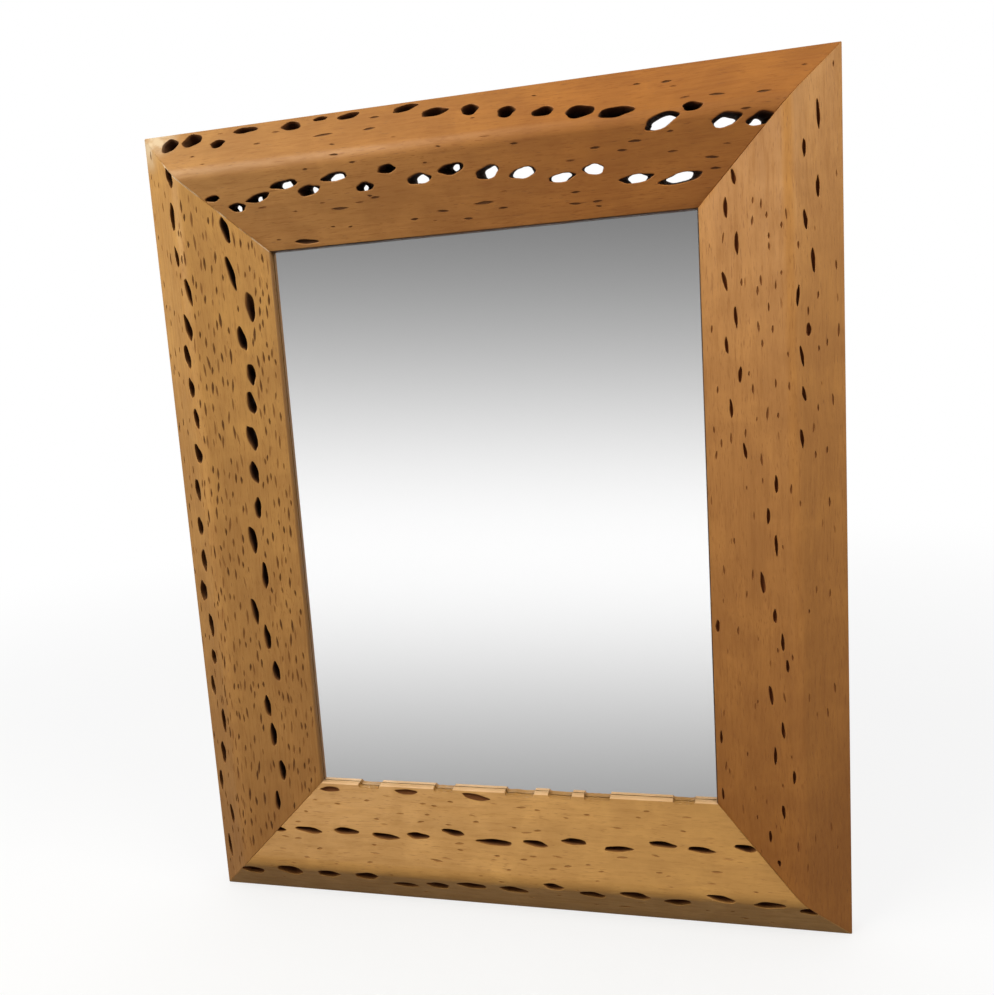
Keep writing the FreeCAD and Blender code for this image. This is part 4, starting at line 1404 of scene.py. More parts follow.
    def strewn(self, zone: Zone,
               random: np.random.Generator) -> list[tuple[float, float, float, float]]:
        """Strew flecks over a zone.

        Args:
            zone: The zone.
            random: Where their places, lengths and weights come from.

        Returns:
            Each one's station, inset, length and weight.
        """
        flecks = []
        for inset in np.arange(zone.start, zone.end, zone.across_step):
            station = inset + random.uniform(0.0, zone.along_step)
            while station < self.length - inset:
                length = zone.shortest + (zone.longest - zone.shortest) * random.random() ** 1.5
                off = random.uniform(-0.5, 0.5) * zone.across_step
                flecks.append((station, inset + off, length, random.random() * 0.9))
                station += zone.along_step * random.uniform(0.35, 1.75)
        return flecks

    def fleck(self, station: float, inset: float, length: float, weight: float,
              random: np.random.Generator) -> Mesh:
        """Make one fleck: a shallow dent, pointed at both ends along the grain.

        Args:
            station: Where its middle is along the member.
            inset: Where its middle is across the member.
            length: How long it is.
            weight: How deep and dark it is, 0 to 1.
            random: Where its unevenness comes from.

        Returns:
            The closed space, in the member's own axes.
        """
        angles = np.linspace(0.0, math.tau, self.around_fleck, endpoint=False)
        half_width = random.uniform(0.28, 0.42) + 0.024 * length + 0.20 * weight
        depth = 0.28 + 0.52 * weight
        bend = random.normal(0.0, 0.05)
        wobble = 1.0 + 0.12 * np.sin(3 * angles + random.uniform(0.0, math.tau))
        pointed = np.sin(angles) * (1.0 - 0.6 * np.cos(angles) ** 2) * wobble
        rings = ((1.12, -0.25), (1.0, 0.0), (0.78, depth * 0.75), (0.15, depth))
        points: list[Triple] = []
        for scale, down in rings:
            along = length / 2 * np.cos(angles) * scale
            insets = inset + half_width * pointed * scale + bend * along
            heights = self.moulding.face_height(insets) - down
            points.extend(map(tuple, np.stack([station + along, insets, heights], axis=1)))
        return points, rings_to_faces(len(rings), self.around_fleck)

    # chips and holes

    def chip_cutters(self, random: np.random.Generator) -> list[Mesh]:
        """Make what has broken out of the sight edge, with ragged ends and a nearly straight floor.

        Args:
            random: Where the floor's unevenness comes from.

        Returns:
            The closed spaces, in the member's own axes.
        """
        cutters = []
        width = self.moulding.width
        beyond, span = width + 2.0, self.length - 2 * width
        for start, end, wide in self.chips:
            first, last = (width + share * span for share in (start, end))
            stations = np.linspace(first, last, self.chip_points)
            floor = width - wide + random.normal(0.0, self.chip_roughness, self.chip_points)
            floor[0] = floor[-1] = width - 0.3
            corners = [(first - 0.4, beyond), (stations[0], floor[0]),
                       (first + 0.5, floor[1] + 0.4), *zip(stations[1:-1], floor[1:-1]),
                       (last - 0.4, floor[-2] + 0.5), (stations[-1], floor[-1]),
                       (last + 0.4, beyond)]
            cutters.append(prism(corners, self.chip_low, self.chip_high))
        return cutters

    def fixing_cutters(self) -> list[Mesh]:
        """Make the slots and holes for corner nails, splines, sprigs and hanger screws.

        Returns:
            The closed spaces, in the member's own axes.
        """
        near = [*self.nail_slots(), self.spline_slot()]
        far = [self.mirrored(mesh) for mesh in near]
        return near + self.sprig_holes() + self.screw_holes() + far

    def nail_slots(self) -> list[Mesh]:
        """Make the slots for the near ends of the two corner nails.

        Returns:
            The closed spaces, each an angle whose corner is on the mitre.
        """
        sizes, slots = self.fixings, []
        for place in sizes.nail_places:
            start, end = place - sizes.clearance, place + sizes.nail_leg + sizes.clearance
            inside = place + sizes.nail_thickness + sizes.clearance
            corner = [(start, start), (end, start), (end, inside), (inside, inside),
                      (inside, end), (start, end)]
            slots.append(prism(corner, -sizes.overrun, sizes.nail_depth + sizes.clearance))
        return slots

    def spline_slot(self) -> Mesh:
        """Make the slot for the near spline.

        Returns:
            The closed space, an almond that lies across the mitre.
        """
        sizes = self.fixings
        half, bulge = sizes.spline_half, sizes.spline_bulge
        radius = (half ** 2 + bulge ** 2) / (2 * bulge)
        spread = math.asin(half / radius)
        almond = []
        for side in (1, -1):
            for turn in np.linspace(-spread, spread, 13)[:-1]:
                long = radius * math.sin(turn) * side
                short = (radius * math.cos(turn) - radius + bulge) * side
                almond.append((sizes.spline_centre + (long + short) * math.sqrt(0.5),
                               sizes.spline_centre + (long - short) * math.sqrt(0.5)))
        return prism(almond, sizes.spline_low, sizes.spline_high)

    def sprig_holes(self) -> list[Mesh]:
        """Make the holes for the sprigs, driven outward from the rebate's wall.

        Returns:
            The closed spaces.
        """
        sizes, holes = self.fixings, []
        for share in sizes.sprig_shares:
            station = sizes.sprig_margin + share * (self.length - 2 * sizes.sprig_margin)
            rim = circle(station, sizes.sprig_height, sizes.sprig_radius, 10)
            points = [(along, inset, height) for inset in (sizes.sprig_start, sizes.sprig_margin)
                      for along, height in rim]
            holes.append((points, rings_to_faces(2, len(rim))))
        return holes

    def screw_holes(self) -> list[Mesh]:
        """Make the holes for the hanger's screws, where the member has any.

        Returns:
            The closed spaces.
        """
        sizes = self.fixings
        station = self.noted_station(sizes.screw_station)
        return [prism(circle(station, inset, sizes.screw_radius, 16),
                      -sizes.overrun, sizes.screw_depth) for inset in self.screw_insets]

    def mirrored(self, mesh: Mesh) -> Mesh:
        """A mesh at the near end as its twin at the far end."""
        points, faces = mesh
        return ([(self.length - x, y, z) for x, y, z in points],
                [tuple(reversed(face)) for face in faces])

    @staticmethod
    def apart(cutters: Sequence[Mesh]) -> list[list[Mesh]]:
        """Deal cutters into batches in which no two come near each other.

        Args:
            cutters: The cutters.

        Returns:
            The batches.
        """
        batches: list[tuple[list[Mesh], list[np.ndarray]]] = []
        for mesh in cutters:
            places = np.array(mesh[0])
            box = np.array([places.min(axis=0) - 0.1, places.max(axis=0) + 0.1])
            for batch, boxes in batches:
                stack = np.array(boxes)
                meets = ((stack[:, 0] < box[1]) & (stack[:, 1] > box[0])).all(axis=1)
                if not meets.any():
                    batch.append(mesh)
                    boxes.append(box)
                    break
            else:
                batches.append(([mesh], [box]))
        return [batch for batch, _ in batches]

    # after the cuts

    def stained(self, data: bpy.types.Mesh) -> np.ndarray:
        """Write how dark each face's corners are by their depth, as the pore walls' own colour with
        painted shade and as the flecks' own colour, and which faces are the sight edge.

        Args:
            data: The cut member.

        Returns:
            Each face's kind.
        """
        kinds = values_of(data.polygons, "material_index")
        places = values_of(data.vertices, "co", 3, np.float32)
        inset, height = self.insets_and_heights(places.reshape(-1, 3).astype(float))
        corners = values_of(data.loops, "vertex_index")
        totals = values_of(data.polygons, "loop_total")
        corner_kinds = np.repeat(kinds, totals)
        deep = (self.moulding.face_height(inset) - height)[corners]
        in_pore = np.clip((deep - 0.12) / 0.9, 0.0, 1.0)
        in_fleck = np.clip((deep - 0.02) / 0.55, 0.0, 1.0) * self.fleck_stain
        # darkness by depth: in pores partly the walls' own colour and partly painted shade, in
        # flecks their own colour
        keep(data, "stain_and_shade", "CORNER",
             np.where(corner_kinds == Kind.PORE.value, in_pore, 0.0)
             + np.where(corner_kinds == Kind.FLECK.value, in_fleck, 0.0))
        middles, heights = (np.add.reduceat(level[corners], np.cumsum(totals) - totals) / totals
                            for level in (inset, height))
        keep(data, "edge", "FACE", (middles > self.moulding.width - 0.75)
             & (heights > self.moulding.rebate_depth + 0.1) & (kinds == Kind.BLANK.value))
        data.polygons.foreach_set("material_index", np.zeros(len(data.polygons), np.int32))
        return kinds

    @staticmethod
    def crisp_rims(data: bpy.types.Mesh, kinds: np.ndarray) -> None:
        """Keep the shading of the face and of the pores apart along every rim.

        Args:
            data: The finished member.
            kinds: Each face's kind.
        """
        edges = values_of(data.loops, "edge_index")
        corner_kinds = np.repeat(kinds, values_of(data.polygons, "loop_total"))
        low, high = np.full(len(data.edges), len(Kind)), np.full(len(data.edges), -1)
        np.minimum.at(low, edges, corner_kinds)
        np.maximum.at(high, edges, corner_kinds)
        sharp = data.attributes["sharp_edge"] if "sharp_edge" in data.attributes else \
            data.attributes.new("sharp_edge", "BOOLEAN", "EDGE")
        flags = values_of(sharp.data, "value", kind=bool)
        sharp.data.foreach_set("value", flags | (low != high))
        data.update()


# Each wood's tint towards one end is painted shade of light falling off along its member; the dark
# sight-edge colours of the top rail and the right stile are a painted shadow line along the mirror;
# each inside colour holds painted shade as well as the pore walls' own brown.
TOP_WOOD = CactusWood(
    "cactus_wood_top", Grain.LEVEL, shade(188, 138, 80), shade(172, 125, 71), shade(148, 97, 47),
    sample=3.1, far_shade_tint=(0.92, 0.70, 0.44, 1.0), far_axis=(1.0, 0.0, 0.0), far_start=-0.20,
    far_end=0.08, edge=shade(58, 42, 30), glued=True)
BOTTOM_WOOD = CactusWood(
    "cactus_wood_bottom", Grain.LEVEL, shade(199, 149, 82), shade(183, 136, 73),
    shade(157, 110, 53), sample=7.7, far_shade_tint=(0.86, 0.84, 0.80, 1.0), far_axis=(1.0, 0.0, 0.0),
    far_start=0.0, far_end=-0.19, inside=shade(112, 66, 32), edge=shade(232, 190, 144))
LEFT_WOOD = CactusWood(
    "cactus_wood_left", Grain.UPRIGHT, shade(204, 153, 83), shade(187, 139, 75),
    shade(159, 108, 52), sample=11.3, far_shade_tint=(0.73, 0.65, 0.62, 1.0),
    edge=shade(146, 104, 60), glued=True)
RIGHT_WOOD = CactusWood(
    "cactus_wood_right", Grain.UPRIGHT, shade(203, 144, 77), shade(188, 131, 68),
    shade(158, 102, 47), sample=17.9, far_shade_tint=(0.62, 0.51, 0.34, 1.0),
    inside=shade(122, 70, 35), edge=shade(52, 42, 34))

# the rows of pores of each member; a pore's eight values are those of the class Pore
TOP_ROWS = (
    row((0.033, 0.10, 0.65, 1.50), (0.074, 0.08, 0.80, 1.40), (0.112, 0.14, 0.60, 0.90),
        (0.167, 0.05, 0.90, 0.75), (0.241, 0.07, 0.75, 1.00), (0.289, 0.04, 0.55, 0.50),
        (0.333, 0.05, 0.75, 0.75), (0.420, 0.05, 0.95, 0.75), (0.465, 0.12, 0.95, 0.90),
        (0.519, 0.14, 0.65, 1.10), (0.576, 0.20, 0.65, 1.10), (0.633, 0.24, 0.75, 0.90),
        (0.691, 0.28, 1.00, 1.10), (0.748, 0.32, 1.05, 1.00),
        (0.827, 0.42, 1.10, 1.10, 5.7, -3.4, 16.5, 7.0), (0.863, 0.35, 0.65, 0.75),
        (0.930, 0.46, 0.90, 1.10, 5.2, -1.1, 13.0, 7.5),
        (0.985, 0.48, 0.80, 1.10, 4.1, 0.1, 7.5, 6.0), turn=-0.12),
    row((0.020, 0.57, 0.60, 0.60), (0.048, 0.65, 0.70, 0.80, -8.0, 3.0, 3.5, 4.5),
        (0.106, 0.60, 0.95, 0.75, -8.0, 2.0, 4.0, 4.0),
        (0.176, 0.53, 1.00, 0.80, -6.5, -0.1, 8.0, 6.5),
        (0.211, 0.59, 0.85, 0.90, -2.0, 1.1, 5.0, 5.5),
        (0.275, 0.52, 0.90, 0.80, -4.8, -0.3, 10.0, 6.5),
        (0.319, 0.61, 0.70, 0.80, -5.0, 2.0, 3.5, 4.0),
        (0.373, 0.51, 0.70, 0.75, 4.0, -2.0, 4.0, 3.0),
        (0.424, 0.60, 0.85, 0.95, -0.9, 1.6, 9.0, 7.0),
        (0.486, 0.56, 0.85, 1.00, 1.4, -1.1, 5.5, 4.5),
        (0.550, 0.61, 0.85, 1.05, 1.9, 1.6, 10.0, 8.0),
        (0.615, 0.64, 0.85, 1.00, 0.0, 2.1, 13.0, 9.0),
        (0.689, 0.70, 0.95, 0.75, -0.1, 2.8, 14.0, 6.5),
        (0.744, 0.67, 0.70, 0.90, 2.2, 3.0, 12.0, 8.5),
        (0.832, 0.76, 1.10, 0.75, 3.3, 4.6, 12.0, 7.0),
        (0.920, 0.79, 1.30, 0.95, 2.4, 3.7, 15.5, 7.0), turn=-0.06),
    row((0.112, 0.95, 0.85, 0.55), depth=4.0),
)
BOTTOM_ROWS = (
    row((0.024, 0.26, 0.92, 1.30), (0.095, 0.30, 1.12, 1.25), (0.171, 0.29, 0.98, 1.00),
        (0.244, 0.30, 0.98, 1.05), (0.319, 0.21, 0.98, 0.85), (0.377, 0.24, 0.92, 1.00),
        (0.439, 0.28, 1.06, 1.00), (0.512, 0.27, 1.00, 1.05), (0.586, 0.35, 0.75, 0.75),
        (0.648, 0.29, 0.90, 0.92), (0.723, 0.32, 1.08, 0.92), (0.787, 0.28, 0.90, 1.05),
        (0.869, 0.36, 0.92, 0.72), (0.939, 0.33, 1.00, 0.88), (0.994, 0.29, 0.70, 1.00),
        turn=-0.06),
    row((0.006, 0.63, 0.45, 0.45), (0.069, 0.64, 1.06, 0.60), (0.152, 0.65, 1.10, 0.60),
        (0.243, 0.63, 1.02, 0.60), (0.312, 0.65, 0.84, 0.66), (0.385, 0.69, 0.92, 0.56),
        (0.476, 0.64, 1.25, 0.64), (0.560, 0.65, 0.98, 0.54), (0.640, 0.68, 0.90, 0.60),
        (0.725, 0.65, 0.98, 0.54), (0.819, 0.70, 1.02, 0.50), (0.890, 0.68, 0.90, 0.54),
        (0.981, 0.71, 0.80, 0.56), turn=-0.04),
    row((0.038, 0.95, 0.85, 0.50), (0.239, 0.96, 0.85, 0.55), (0.418, 0.95, 1.05, 0.60), depth=4.0,
        turn=-0.05),
)
# the chips out of its sight edge: where each starts and ends between the mitres, and how wide
BOTTOM_CHIPS = (
    (0.101, 0.160, 2.6), (0.304, 0.355, 2.3), (0.489, 0.563, 2.8), (0.598, 0.657, 2.6),
    (0.686, 0.750, 2.6), (0.898, 0.950, 1.8),
)
LEFT_ROWS = (
    row((0.049, 0.10, 0.90, 0.70), (0.090, 0.20, 0.80, 0.70), (0.149, 0.07, 0.85, 0.80),
        (0.185, 0.17, 0.90, 0.95), (0.230, 0.24, 0.90, 0.80), (0.285, 0.12, 0.85, 0.80),
        (0.325, 0.19, 0.65, 0.90), (0.371, 0.21, 0.85, 0.95), (0.420, 0.14, 0.85, 1.30),
        (0.464, 0.21, 0.80, 1.10), turn=-0.05),
    row((0.512, 0.21, 0.75, 1.00), (0.564, 0.24, 0.90, 0.90), (0.617, 0.31, 0.80, 1.00),
        (0.668, 0.34, 0.70, 0.75), (0.709, 0.32, 0.70, 0.90), (0.752, 0.31, 0.80, 1.00),
        (0.795, 0.36, 0.90, 0.80), (0.848, 0.40, 1.00, 0.50), (0.886, 0.32, 0.70, 0.60),
        (0.939, 0.32, 0.95, 0.70), (0.993, 0.33, 0.80, 0.80), turn=-0.13),
    row((0.046, 0.65, 0.75, 0.55), (0.088, 0.71, 0.90, 0.60), (0.158, 0.67, 0.90, 0.65),
        (0.211, 0.65, 0.85, 0.62), (0.259, 0.74, 0.75, 0.75), (0.322, 0.70, 0.95, 0.65),
        (0.373, 0.63, 0.95, 0.65), (0.426, 0.73, 0.95, 0.66), turn=-0.04),
    row((0.489, 0.67, 0.95, 0.80), (0.540, 0.73, 0.75, 0.72), (0.599, 0.73, 0.80, 0.86),
        (0.656, 0.74, 1.00, 0.86), (0.714, 0.76, 0.90, 0.78), (0.763, 0.78, 0.75, 0.90),
        (0.816, 0.74, 0.95, 0.74), (0.878, 0.82, 1.00, 0.90, -6.0, 4.0, 3.0, 2.0),
        (0.915, 0.71, 1.15, 0.66), (0.979, 0.70, 0.90, 0.75), turn=-0.15),
)
RIGHT_ROWS = (
    row((0.021, 0.54, 0.25, 0.40), (0.047, 0.60, 0.40, 0.40), (0.105, 0.50, 0.50, 0.40),
        (0.168, 0.42, 0.45, 0.40), (0.176, 0.55, 0.60, 0.40), (0.222, 0.49, 0.60, 0.40),
        (0.261, 0.57, 0.60, 0.50), (0.315, 0.45, 0.40, 0.40), (0.344, 0.48, 0.60, 0.40),
        (0.376, 0.53, 0.45, 0.50), (0.417, 0.61, 0.75, 0.55), (0.473, 0.51, 0.65, 0.40),
        (0.511, 0.56, 0.50, 0.45), (0.553, 0.50, 0.55, 0.45), depth=3.6, turn=0.05),
    row((0.605, 0.32, 0.55, 0.45), (0.656, 0.30, 0.45, 0.45), (0.701, 0.31, 0.60, 0.40),
        (0.727, 0.26, 0.45, 0.55), (0.772, 0.33, 0.60, 0.40), (0.801, 0.22, 0.70, 0.50),
        (0.851, 0.27, 0.55, 0.50), (0.876, 0.18, 0.60, 0.50), (0.929, 0.27, 0.55, 0.40),
        (0.951, 0.17, 0.80, 0.45), depth=3.6, turn=0.05),
    row((0.603, 0.71, 0.50, 0.45), (0.669, 0.80, 0.60, 0.45), (0.712, 0.73, 0.55, 0.45),
        (0.763, 0.82, 0.55, 0.45), (0.795, 0.75, 0.65, 0.45), (0.856, 0.82, 0.65, 0.50),
        (0.893, 0.73, 0.65, 0.55), (0.955, 0.80, 0.65, 0.50), (0.984, 0.74, 0.50, 0.50), depth=3.6,
        turn=0.05),
    row((0.030, 0.95, 0.40, 0.35), (0.131, 0.95, 0.45, 0.40), (0.323, 0.95, 0.45, 0.55),
        depth=4.0),
)

# the flecks that stand out on each member: place from its left or lower end, inset, length
TOP_FLECKS = (
    (138, 16, 15), (172, 8, 7), (170, 16, 9), (148, 31, 7), (143, 62, 14), (169, 58, 7),
    (240, 68, 15), (212, 70, 9), (228, 76, 7), (192, 73, 6), (252, 72, 7), (298, 74, 9),
    (312, 74, 7), (314, 45, 7), (338, 44, 9), (330, 48, 7), (386, 24, 10), (412, 26, 9),
    (357, 11, 7), (382, 57, 9), (384, 63, 7),
)
BOTTOM_FLECKS = (
    (88, 43, 5), (98, 71, 6), (121, 74, 5), (128, 37, 5), (164, 63, 6), (173, 73, 5),
    (178, 41, 11), (185, 76, 5), (195, 48, 5), (205, 65, 5), (222, 46, 5), (233, 63, 4),
    (241, 45, 6), (249, 74, 5), (272, 43, 6), (284, 73, 5), (325, 77, 5), (309, 12, 11),
    (388, 9.5, 6),
)
RIGHT_FLECKS = (
    (411, 63, 5), (372, 62, 5), (334, 59, 6), (309, 43, 5), (428, 18, 6), (405, 22, 6),
    (462, 44, 4), (460, 52, 6), (455, 36, 4), (450, 43, 4), (444, 43, 5), (443, 27, 5),
    (425, 59, 5), (425, 48, 7), (419, 50, 6), (409, 44, 6), (396, 42, 5), (388, 48, 5),
    (393, 4, 9), (386, 11, 5), (383, 16, 4), (352, 8, 8), (348, 17, 5), (364, 41, 6), (361, 54, 7),
    (346, 46, 9), (345, 40, 4), (320, 77, 6), (318, 50, 8), (322, 12, 5), (320, 19, 5),
    (290, 11, 7), (336, 78, 5), (431, 5, 6), (414, 16, 5), (398, 50, 7), (361, 75, 5),
)


@dataclass(frozen=True)
class WoodenFrame:
    """The four members, mitred together."""

    members: tuple[Member, ...] = (
        Member("bottom_rail", BOTTOM_WOOD, FRAME_WIDTH, quarter_turns=0, against=False,
               lean=-0.10, rows=BOTTOM_ROWS,
               zones=(Zone(34.0, 80.0, 40.0, 6.0, 4.0, 9.0), Zone(4.0, 30.0, 70.0, 8.0, 3.5, 7.0)),
               seed=41, noted=BOTTOM_FLECKS, chips=BOTTOM_CHIPS, fleck_stain=0.58),
        Member("right_stile", RIGHT_WOOD, FRAME_HEIGHT, quarter_turns=1, against=False,
               lean=-0.12, rows=RIGHT_ROWS,
               zones=(Zone(6.0, 34.0, 70.0, 7.0, 3.0, 8.0), Zone(36.0, 81.0, 48.0, 6.0, 3.0, 8.0)),
               seed=42, noted=RIGHT_FLECKS, screw_insets=(24.0, 34.0), fleck_stain=0.8,
               slim=0.78),
        Member("top_rail", TOP_WOOD, FRAME_WIDTH, quarter_turns=2, against=True,
               lean=-0.18, rows=TOP_ROWS,
               zones=(Zone(34.0, 81.0, 70.0, 7.0, 3.5, 8.0), Zone(8.0, 30.0, 90.0, 9.0, 3.5, 7.0)),
               seed=43, noted=TOP_FLECKS),
        Member("left_stile", LEFT_WOOD, FRAME_HEIGHT, quarter_turns=3, against=True,
               lean=0.10, rows=LEFT_ROWS,
               zones=(Zone(28.0, 55.0, 14.5, 2.9, 5.0, 12.5),
                      Zone(62.0, 82.0, 13.0, 2.8, 5.0, 12.0), Zone(4.0, 26.0, 26.0, 5.0, 4.0, 9.0)),
               seed=44, screw_insets=(24.0, 34.0)),
    )

    def build(self) -> None:
        """Make the members, and dress what joins them."""
        for member in self.members:
            member.build()
        corners = ("bottom_left", "bottom_right", "top_right", "top_left")
        dress(NAIL_STEEL, *(f"{corner}_corner_nails" for corner in corners))
        dress(Beech(), *(f"{corner}_spline" for corner in corners))


# ---------------------------------------------------------------------------------------------
# The plate and what holds it
# ---------------------------------------------------------------------------------------------

@dataclass(frozen=True)
class Slab:
    """A flat sheet with its edges eased, standing upright."""

    width: float
    height: float
    foot: float
    front: float
    back: float
    ease: float
    corner: float

    def outline(self, inward: float) -> list[Pair]:
        """Draw the sheet's outline with its corners rounded.

        Args:
            inward: How far it is drawn in.

        Returns:
            Its points.
        """
        half, radius = self.width / 2 - inward, max(self.corner - inward, 0.05)
        low, high = self.foot + inward, self.foot + self.height - inward
        corners = ((half, high, 0.0), (-half, high, 0.25), (-half, low, 0.5), (half, low, 0.75))
        points = []
        for x, z, start in corners:
            centre_x = x - math.copysign(radius, x)
            centre_z = z + (radius if z == low else -radius)
            for step in range(4):
                angle = math.tau * (start + 0.25 * step / 3)
                points.append((centre_x + radius * math.cos(angle),
                               centre_z + radius * math.sin(angle)))
        return points

    def mesh(self) -> Mesh:
        """Make the sheet.

        Returns:
            Its closed mesh.
        """
        front = [(self.front + self.ease * (1 - math.sin(angle)), self.ease * (1 - math.cos(angle)))
                 for angle in (math.pi / 2, math.pi / 4, 0.0)]
        back = [(self.back - (y - self.front), inward) for y, inward in reversed(front)]
        rings = front + back
        points = [(x, y, z) for y, inward in rings for x, z in self.outline(inward)]
        return points, rings_to_faces(len(rings), len(self.outline(0.0)))


@dataclass(frozen=True)
class MirrorPlate:
    """The glass, its silvering, the board behind it, the slips round it and the sprigs."""

    glass: Slab = Slab(300.0, 400.0, 78.0, 0.58, 1.05, ease=0.15, corner=1.0)
    silver: Slab = Slab(299.0, 399.0, 78.5, 1.1, 3.7, ease=0.05, corner=1.0)
    board: Slab = Slab(300.0, 400.0, 78.0, 3.72, 6.7, ease=0.35, corner=1.5)
    flat_below: float = 5.0

    def build(self) -> None:
        """Make the sheets and dress the rest."""
        glass = to_mesh("mirror_glass", self.glass.mesh())
        ground = np.array([abs(face.normal.y) <= 0.99 for face in glass.polygons])
        keep(glass, "ground", "FACE", ground)
        silver = to_mesh("silvering", self.silver.mesh())
        board = to_mesh("back_board", self.board.mesh())
        make_piece("mirror_plate", glass, PlateGlass(), "mirror_glass",
                   self.flat_below)
        make_piece("mirror_silvering", silver, Silvering(), "silvering",
                   self.flat_below)
        make_piece("hardboard_back", board, Hardboard(), "back_board",
                   self.flat_below)
        dress(Cork(), "edge_slips")
        dress(NAIL_STEEL, "board_sprigs")


# ---------------------------------------------------------------------------------------------
# What it hangs by
# ---------------------------------------------------------------------------------------------

class Side(Enum):
    """A side of the frame, as seen from the front."""

    LEFT = -1
    RIGHT = 1

    @property
    def word(self) -> str:
        """The side's name, as the model's nodes have it."""
        return self.name.lower()


@dataclass(frozen=True)
class Screw:
    """A round-head wood screw with a straight slot, its axis along Y and its head behind."""

    seat: float = 11.1
    head_radius: float = 3.2
    head_height: float = 2.2
    shank_radius: float = 1.5
    tip: float = -2.9
    point_length: float = 3.0
    slot_width: float = 0.75
    slot_depth: float = 1.15
    thread_pitch: float = 1.3
    thread_depth: float = 0.32

    def mesh(self, x: float, z: float, turn: float) -> bpy.types.Mesh:
        """Make one screw.

        Args:
            x: Where its axis is across the frame.
            z: Where its axis is up the frame.
            turn: How far its slot is turned, in radians.

        Returns:
            The screw in its place.
        """
        turned = moved(lathe(self.profile(), 40),
                       lambda point: (point[0] + x, point[1], point[2] + z))
        top = self.seat + self.head_height
        half, reach = self.slot_width / 2, self.head_radius + 1.0
        corners = [(-reach, -half), (reach, -half), (reach, half), (-reach, half)]
        cosine, sine = math.cos(turn), math.sin(turn)
        points = [(x + along * cosine - across * sine, y, z + along * sine + across * cosine)
                  for y in (top - self.slot_depth, top + 1.0) for along, across in corners]
        return cut(to_mesh("screw", turned), to_mesh("slot", (points, rings_to_faces(2, 4))))

    def profile(self) -> list[Pair]:
        """Draw the screw's profile.

        Returns:
            Radius and place along the axis, from the tip over the threads to the dome's top.
        """
        radius = (self.head_radius ** 2 + self.head_height ** 2) / (2 * self.head_height)
        spread = math.asin(self.head_radius / radius)
        centre = self.seat + self.head_height - radius
        dome = [(radius * math.sin(angle), centre + radius * math.cos(angle))
                for angle in np.linspace(spread - 0.06, 0.0, 11)]
        neck, neck_radius = self.seat - 0.6, self.shank_radius * 0.92
        threads = [(0.02, self.tip)]
        for index in range(int((neck - self.tip - 0.8) / self.thread_pitch)):
            for share, lift in ((0.2, 0.0), (0.5, 1.0), (0.8, 0.0)):
                along = self.tip + 0.5 + (index + share) * self.thread_pitch
                taper = min((along - self.tip) / self.point_length, 1.0)
                core = (self.shank_radius - self.thread_depth) * taper
                threads.append((core + self.thread_depth * lift * taper, along))
        return threads + [(neck_radius, neck), (neck_radius, self.seat),
                          (self.head_radius - 0.08, self.seat),
                          (self.head_radius, self.seat + 0.1)] + dome


@dataclass(frozen=True)
class Hanger:
    """A D-ring in a folded strap, held to a stile by two screws."""

    side: Side
    turns: tuple[float, float]
    height: float = 394.0
    near: float = 194.0
    far: float = 204.0
    screw: Screw = Screw()

    def build(self) -> None:
        """Make the screws, and dress the strap and the ring."""
        word, out = self.side.word, self.side.value
        meshes = [self.screw.mesh(out * offset, self.height, turn)
                  for offset, turn in zip((self.near, self.far), self.turns)]
        both = joined(([tuple(value / MM for value in vertex.co) for vertex in mesh.vertices],
                       [tuple(face.vertices) for face in mesh.polygons]) for mesh in meshes)
        make_piece(f"{word}_round_head_screws", to_mesh("screws", both), SCREW_BRASS,
                   f"{word}_hanger_screws", smooth_below=32.0)
        dress(STRAP_STEEL, f"{word}_hanger_strap")
        dress(RING_STEEL, f"{word}_hanger_ring")


@dataclass(frozen=True)
class Bumper:
    """A rubber bumper stuck behind a lower corner."""

    side: Side
    offset: float = 187.0
    height: float = 41.0
    radius: float = 8.0
    face_radius: float = 7.0
    thickness: float = 5.5
    softening: float = 0.95

    def build(self) -> None:
        """Turn the bumper: a rounded foot, a softened face and a shallow dimple in it."""
        start, end = BACK_PLANE, BACK_PLANE + self.thickness
        foot = [(0.0, start), (self.radius - 0.4, start), (self.radius, start + 0.4),
                (self.radius - 0.12, start + 1.4), (self.face_radius + 0.15, end - 1.1)]
        face = [(self.face_radius - 0.9 + self.softening * math.cos(angle),
                 end - self.softening + self.softening * math.sin(angle))
                for angle in np.linspace(0.15, math.pi / 2, 6)]
        dimple = [(4.2, end), (3.7, end - 0.12), (3.3, end - 0.5), (2.4, end - 0.62),
                  (0.0, end - 0.66)]
        x = self.side.value * self.offset
        mesh = moved(lathe(foot + face + dimple, 56),
                     lambda point: (point[0] + x, point[1], point[2] + self.height))
        word = self.side.word
        make_piece(f"{word}_rubber_bumper", to_mesh("bumper", mesh), Rubber(),
                   f"{word}_bumper")


# ---------------------------------------------------------------------------------------------
# The studio
# ---------------------------------------------------------------------------------------------

@dataclass(frozen=True)
class Lamp:
    """A large soft lamp that looks at the frame."""

    name: str
    watts: float
    place: Triple
    target: Triple = (0.0, 0.0, 300.0)
    size: float = 0.8
    colour: Triple = (1.02, 0.985, 0.85)

    def hang(self) -> None:
        """Hang the lamp."""
        data = bpy.data.lights.new(self.name, "AREA")
        data.energy, data.size, data.color = self.watts, self.size, self.colour
        lamp = stand(self.name, data)
        lamp.location = Vector(self.place) * MM
        aim = Vector(self.target) - Vector(self.place)
        lamp.rotation_euler = aim.to_track_quat("-Z", "Y").to_euler()


